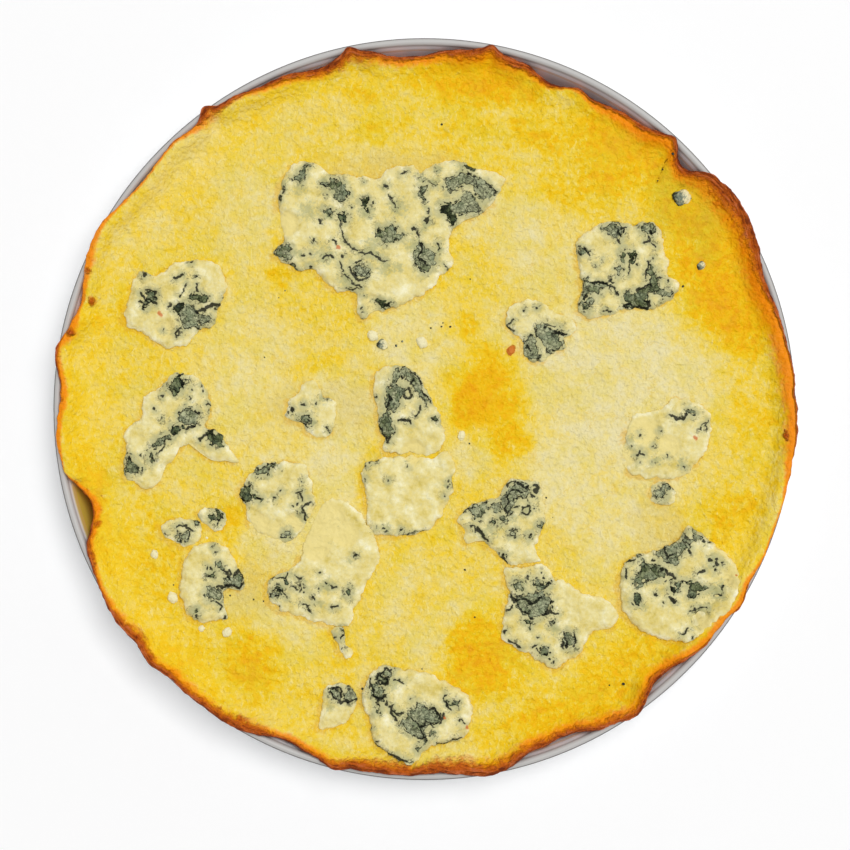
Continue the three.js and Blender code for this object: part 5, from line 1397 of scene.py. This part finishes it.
def blueCheeseMaterial():
    look = blueLook
    material, graph = newMaterial("blueCheese")
    place = graph.place()
    curd = graph.group(curds, {"Size": .8})
    vein, tone, stroke, depth = (graph.field(name) for name in ("vein", "tone", "stroke", "depth"))
    broad, fine = graph.noise(place, 6, 3, .6), graph.noise(place, 1.1, 3, .62, .5)
    # Painted highlight: the last term makes the cheese lighter towards its rim.
    lightness = broad * 2 + fine * .6 + curd["Flecks"] * .12 + depth.fit(2.2, .2, 0, .25)
    shade = graph.ramp(lightness - .85, look["shades"])
    meltedShade = graph.ramp(lightness, look["meltedShades"])
    melted = graph.field("melted") + (broad - .5) * .8
    shade = graph.mix(melted.fit(.2, .75, 0, .9), shade, meltedShade)
    rim = depth + graph.noise(place, 4, 3, .6) * 7
    shade = graph.mix(rim.fit(3.9, 2.6, 0, .7), shade, meltedShade)
    nearVein = vein.atMost(stroke + .6) + (broad - .5) * 5
    shade = graph.mix(nearVein.fit(3, .3, 0, .85), shade, look["stain"])
    stained = graph.field("stain") + (fine - .5) * 2.2
    shade = graph.mix(stained.fit(.15, .8, 0, .6), shade, look["mould"])
    mottled = graph.noise(graph.shift(place, 4, 3), 2.4, 4, .7).fit(.55, .7, 0, .55)
    shade = graph.mix(mottled * nearVein.fit(6, 1, .15, 1), shade, look["mould"])

    crumpled = graph.shift(place, 1.8, 1.8)
    facet = graph.add("SeparateColor", {0: graph.cells(crumpled, 1.7, output=1)})
    facetEdge = graph.cells(crumpled, 1.7, "DISTANCE_TO_EDGE")
    vein = vein + (facet - .5) * 1.3
    inside = ragged(graph, vein, -.1, .12, 1.3, 1.2)
    shade = graph.mix(inside, shade, veinColour(graph, place, tone, fine, facet, facetEdge))
    # A dark border round each vein: partly the mould's own dark edge, partly painted shade where the vein
    # sinks.
    border = abs(vein + graph.swing(place, 1.2, 3, .62) * 1.3 + .1).fit(.36, .08, 0, .96)
    flakes = graph.noise(graph.shift(place, 1.5, 1.2), 1.5, 3, .66, .6).fit(.55, .6)
    dark = [
        border * graph.noise(place, 1).fit(.34, .52),
        ragged(graph, stroke, .04, .16, 1, .8) * .93,
        flakes * nearVein.fit(4.2, .5, 0, .7) * graph.noise(place, 4.5).fit(.42, .54)]
    for share in dark:
        shade = graph.mix(share, shade, look["outline"])
    shade = graph.mix(graph.field("rust").fit(.3, .7, 0, .8), shade, look["rust"])

    soft = graph.noise(graph.shift(place, 4, 2.5), 3.2, 1)
    crumple = facet * .5 + (fine + facetEdge.fit(0, .25))
    height = curd["Height"] * .35 + inside * (crumple * .6) + (broad * .5 + soft * .9)
    return setShader(material, graph, {
        "Base Color": shade, "Roughness": inside * .15 + look["roughness"],
        "Specular IOR Level": look["specular"], "Normal": graph.bump(height, look["relief"])})


crumbLook = {
    "cream": (240, 231, 184), "grey": (120, 130, 110), "dark": (38, 42, 28), "rust": (208, 118, 36),
    "roughness": .55, "specular": .3, "relief": .5,
}


def crumbMaterial():
    look = crumbLook
    material, graph = newMaterial("crumbCheese")
    place = graph.place()
    darkness = graph.field("darkness")
    speckled = darkness + graph.swing(place, 1.4, 3, .6) * 1.3
    shade = graph.mix(speckled.fit(.2, .6), look["cream"], look["grey"])
    shade = graph.mix(speckled.fit(.55, .85), shade, look["dark"])
    shade = graph.mix(darkness.fit(-.4, -.8), shade, look["rust"])
    return setShader(material, graph, {
        "Base Color": shade, "Roughness": look["roughness"], "Specular IOR Level": look["specular"],
        "Normal": graph.bump(graph.noise(place, .8, 3, .6) * .4, look["relief"])})


tinLook = {
    "metal": (250, 252, 255), "tarnish": (240, 241, 242), "lip": (190, 188, 185), "paintedLipEdgeShade": (78, 71, 66),
    "greaseAndReflectionTint": (222, 192, 70), "brownBandColour": (228, 186, 128), "roughness": .38, "relief": .6,
}


def tinMaterial():
    look = tinLook
    material, graph = newMaterial("brightTin")
    place = graph.place()
    worn = graph.noise(place, 26, 3, .6).fit(.42, .62, 0, .6)
    shade = graph.mix(worn, look["metal"], look["tarnish"])
    # Yellow patches: baked-on grease, and at the listed spots partly painted reflection of the crust.
    greasy = graph.noise(place, 7, 5, .7).fit(.66, .76, 0, .7).atLeast(graph.field("greasy"))
    shade = graph.mix(greasy, shade, look["greaseAndReflectionTint"])
    # A brown band low on the inner wall.
    tide = graph.field("tide") + graph.swing(place, 9, 3, .6) * 1.4
    shade = graph.mix(tide.fit(.3, .7, 0, .5), shade, look["brownBandColour"])
    level = graph.add("SeparateXYZ", {0: place}, 2)
    # Painted reflection: the rolled lip is painted a darker grey than the wall.
    shade = graph.mix(level.fit(17.2, 18.8), shade, look["lip"])
    fromMiddle = graph.vector("LENGTH", graph.vector("MULTIPLY", place, (1, 1, 0)), output=1)
    # Painted shade and reflection: a dark line round the outer edge of the rolled lip.
    paintedEdgeShade = fromMiddle.fit(139.3, 139.75) * level.fit(18.1, 18.5)
    shade = graph.mix(paintedEdgeShade, shade, look["paintedLipEdgeShade"])
    scratches = graph.noise(graph.vector("MULTIPLY", place, (.4, 6, .4)), 1.4, 3, .6) * .03
    roughness = graph.noise(place, 5, 3) * .12 + look["roughness"] + greasy * .3
    return setShader(material, graph, {
        "Base Color": shade, "Metallic": 0, "Roughness": roughness,
        "Normal": graph.bump(scratches, look["relief"])})


floorLook = {"Base Color": (.98, .98, .98, 1), "Roughness": .9, "Specular IOR Level": 0}


def floorMaterial():
    return setShader(*newMaterial("paleFloor"), floorLook)

bakedCheese, blueCheese, crumbCheese, brightTin = (
    make() for make in (bakedCheeseMaterial, blueCheeseMaterial, crumbMaterial, tinMaterial))
print("materials made")


# Every piece rides with the part's one body and takes the place of a CAD node.
def finishPiece(piece, node):
    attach(piece, "root")
    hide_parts(node)


base = meshPiece("baked_cheese_disc", *basePoints(), bakedCheese)
finishPiece(base, "cheese_base")
print("baked cheese made:", len(base.data.polygons), "faces")

for index, (name, piece) in enumerate(cheesePieces.items()):
    slabName = name.replace("cheese_", "blue_cheese_")
    slab = meshPiece(slabName, *cheesePoints(piece, 100 + 50 * index), blueCheese)
    finishPiece(slab, name)
print("blue cheese made:", len(cheesePieces), "pieces")

# Name, spots, how flat, points round each and rows of them, and the first seed.
lumpKinds = [("cheese_crumbs", crumbs, .62, 36, 22, 900), ("mould_specks", specks, .4, 12, 8, 1400)]
for name, spots, flat, around, rows, seed in lumpKinds:
    lumps = [
        (*lumpPoints(x, y, radius, flat, around, rows, seed + index), darkness)
        for index, (x, y, radius, darkness) in enumerate(spots)]
    finishPiece(meshPiece(name, *joinLumps(lumps), crumbCheese), "cheese_base")
print("crumbs and specks made")

finishPiece(meshPiece("round_baking_tin", *tinPoints(), brightTin), "baking_tin")
print("tin made")

studio = {
    "floorSize": 6, "cameraHeight": .9, "cameraAt": (.0002, -.006), "frameWidth": .3203, "lipHeight": .02,
    "keyPlace": (2.4, 2.2, 8.8), "keySize": 5.4, "keyPower": 513.0, "sky": .56, "horizon": .85, "zenith": .24,
    "horizonEnds": .4, "zenithFrom": .82, "zenithTo": .98,
}


def buildStudio():
    look = studio
    floorMesh = bpy.data.meshes.new("floor")
    half = look["floorSize"] / 2
    corners = [(-half, -half, 0), (half, -half, 0), (half, half, 0), (-half, half, 0)]
    floorMesh.from_pydata(corners, [], [(0, 1, 2, 3)])
    floorMesh.materials.append(floorMaterial())
    floor = bpy.data.objects.new("floor", floorMesh)
    bpy.context.scene.collection.objects.link(floor)

    lamp = bpy.data.lights.new("keyLight", "AREA")
    lamp.shape, lamp.size, lamp.energy = "SQUARE", look["keySize"], look["keyPower"]
    key = bpy.data.objects.new("keyLight", lamp)
    key.location = look["keyPlace"]
    key.rotation_mode = "QUATERNION"
    key.rotation_quaternion = key.location.to_track_quat("Z", "Y")
    bpy.context.scene.collection.objects.link(key)

    world = bpy.data.worlds.new("studio")
    world.use_nodes = True
    bpy.context.scene.world = world
    graph = Graph(world.node_tree)
    upwards = graph.add("SeparateXYZ", {0: graph.add("TexCoord", {})}, 2)
    lowSky = upwards.fit(0, look["horizonEnds"], look["horizon"], look["sky"])
    highSky = upwards.fit(look["zenithFrom"], look["zenithTo"], look["sky"], look["zenith"])
    strength = lowSky.atMost(highSky)
    background = world.node_tree.nodes["Background"].inputs
    graph.give(background["Color"], (1, 1, 1, 1))
    graph.give(background["Strength"], strength)

    lens = bpy.data.cameras.new("camera")
    distance = look["cameraHeight"] - look["lipHeight"]
    lens.lens = lens.sensor_width * distance / look["frameWidth"]
    camera = bpy.data.objects.new("camera", lens)
    camera.location = (*look["cameraAt"], look["cameraHeight"])
    bpy.context.scene.collection.objects.link(camera)
    bpy.context.scene.camera = camera
    bpy.context.scene.view_settings.view_transform = "Standard"


buildStudio()
print("studio made")
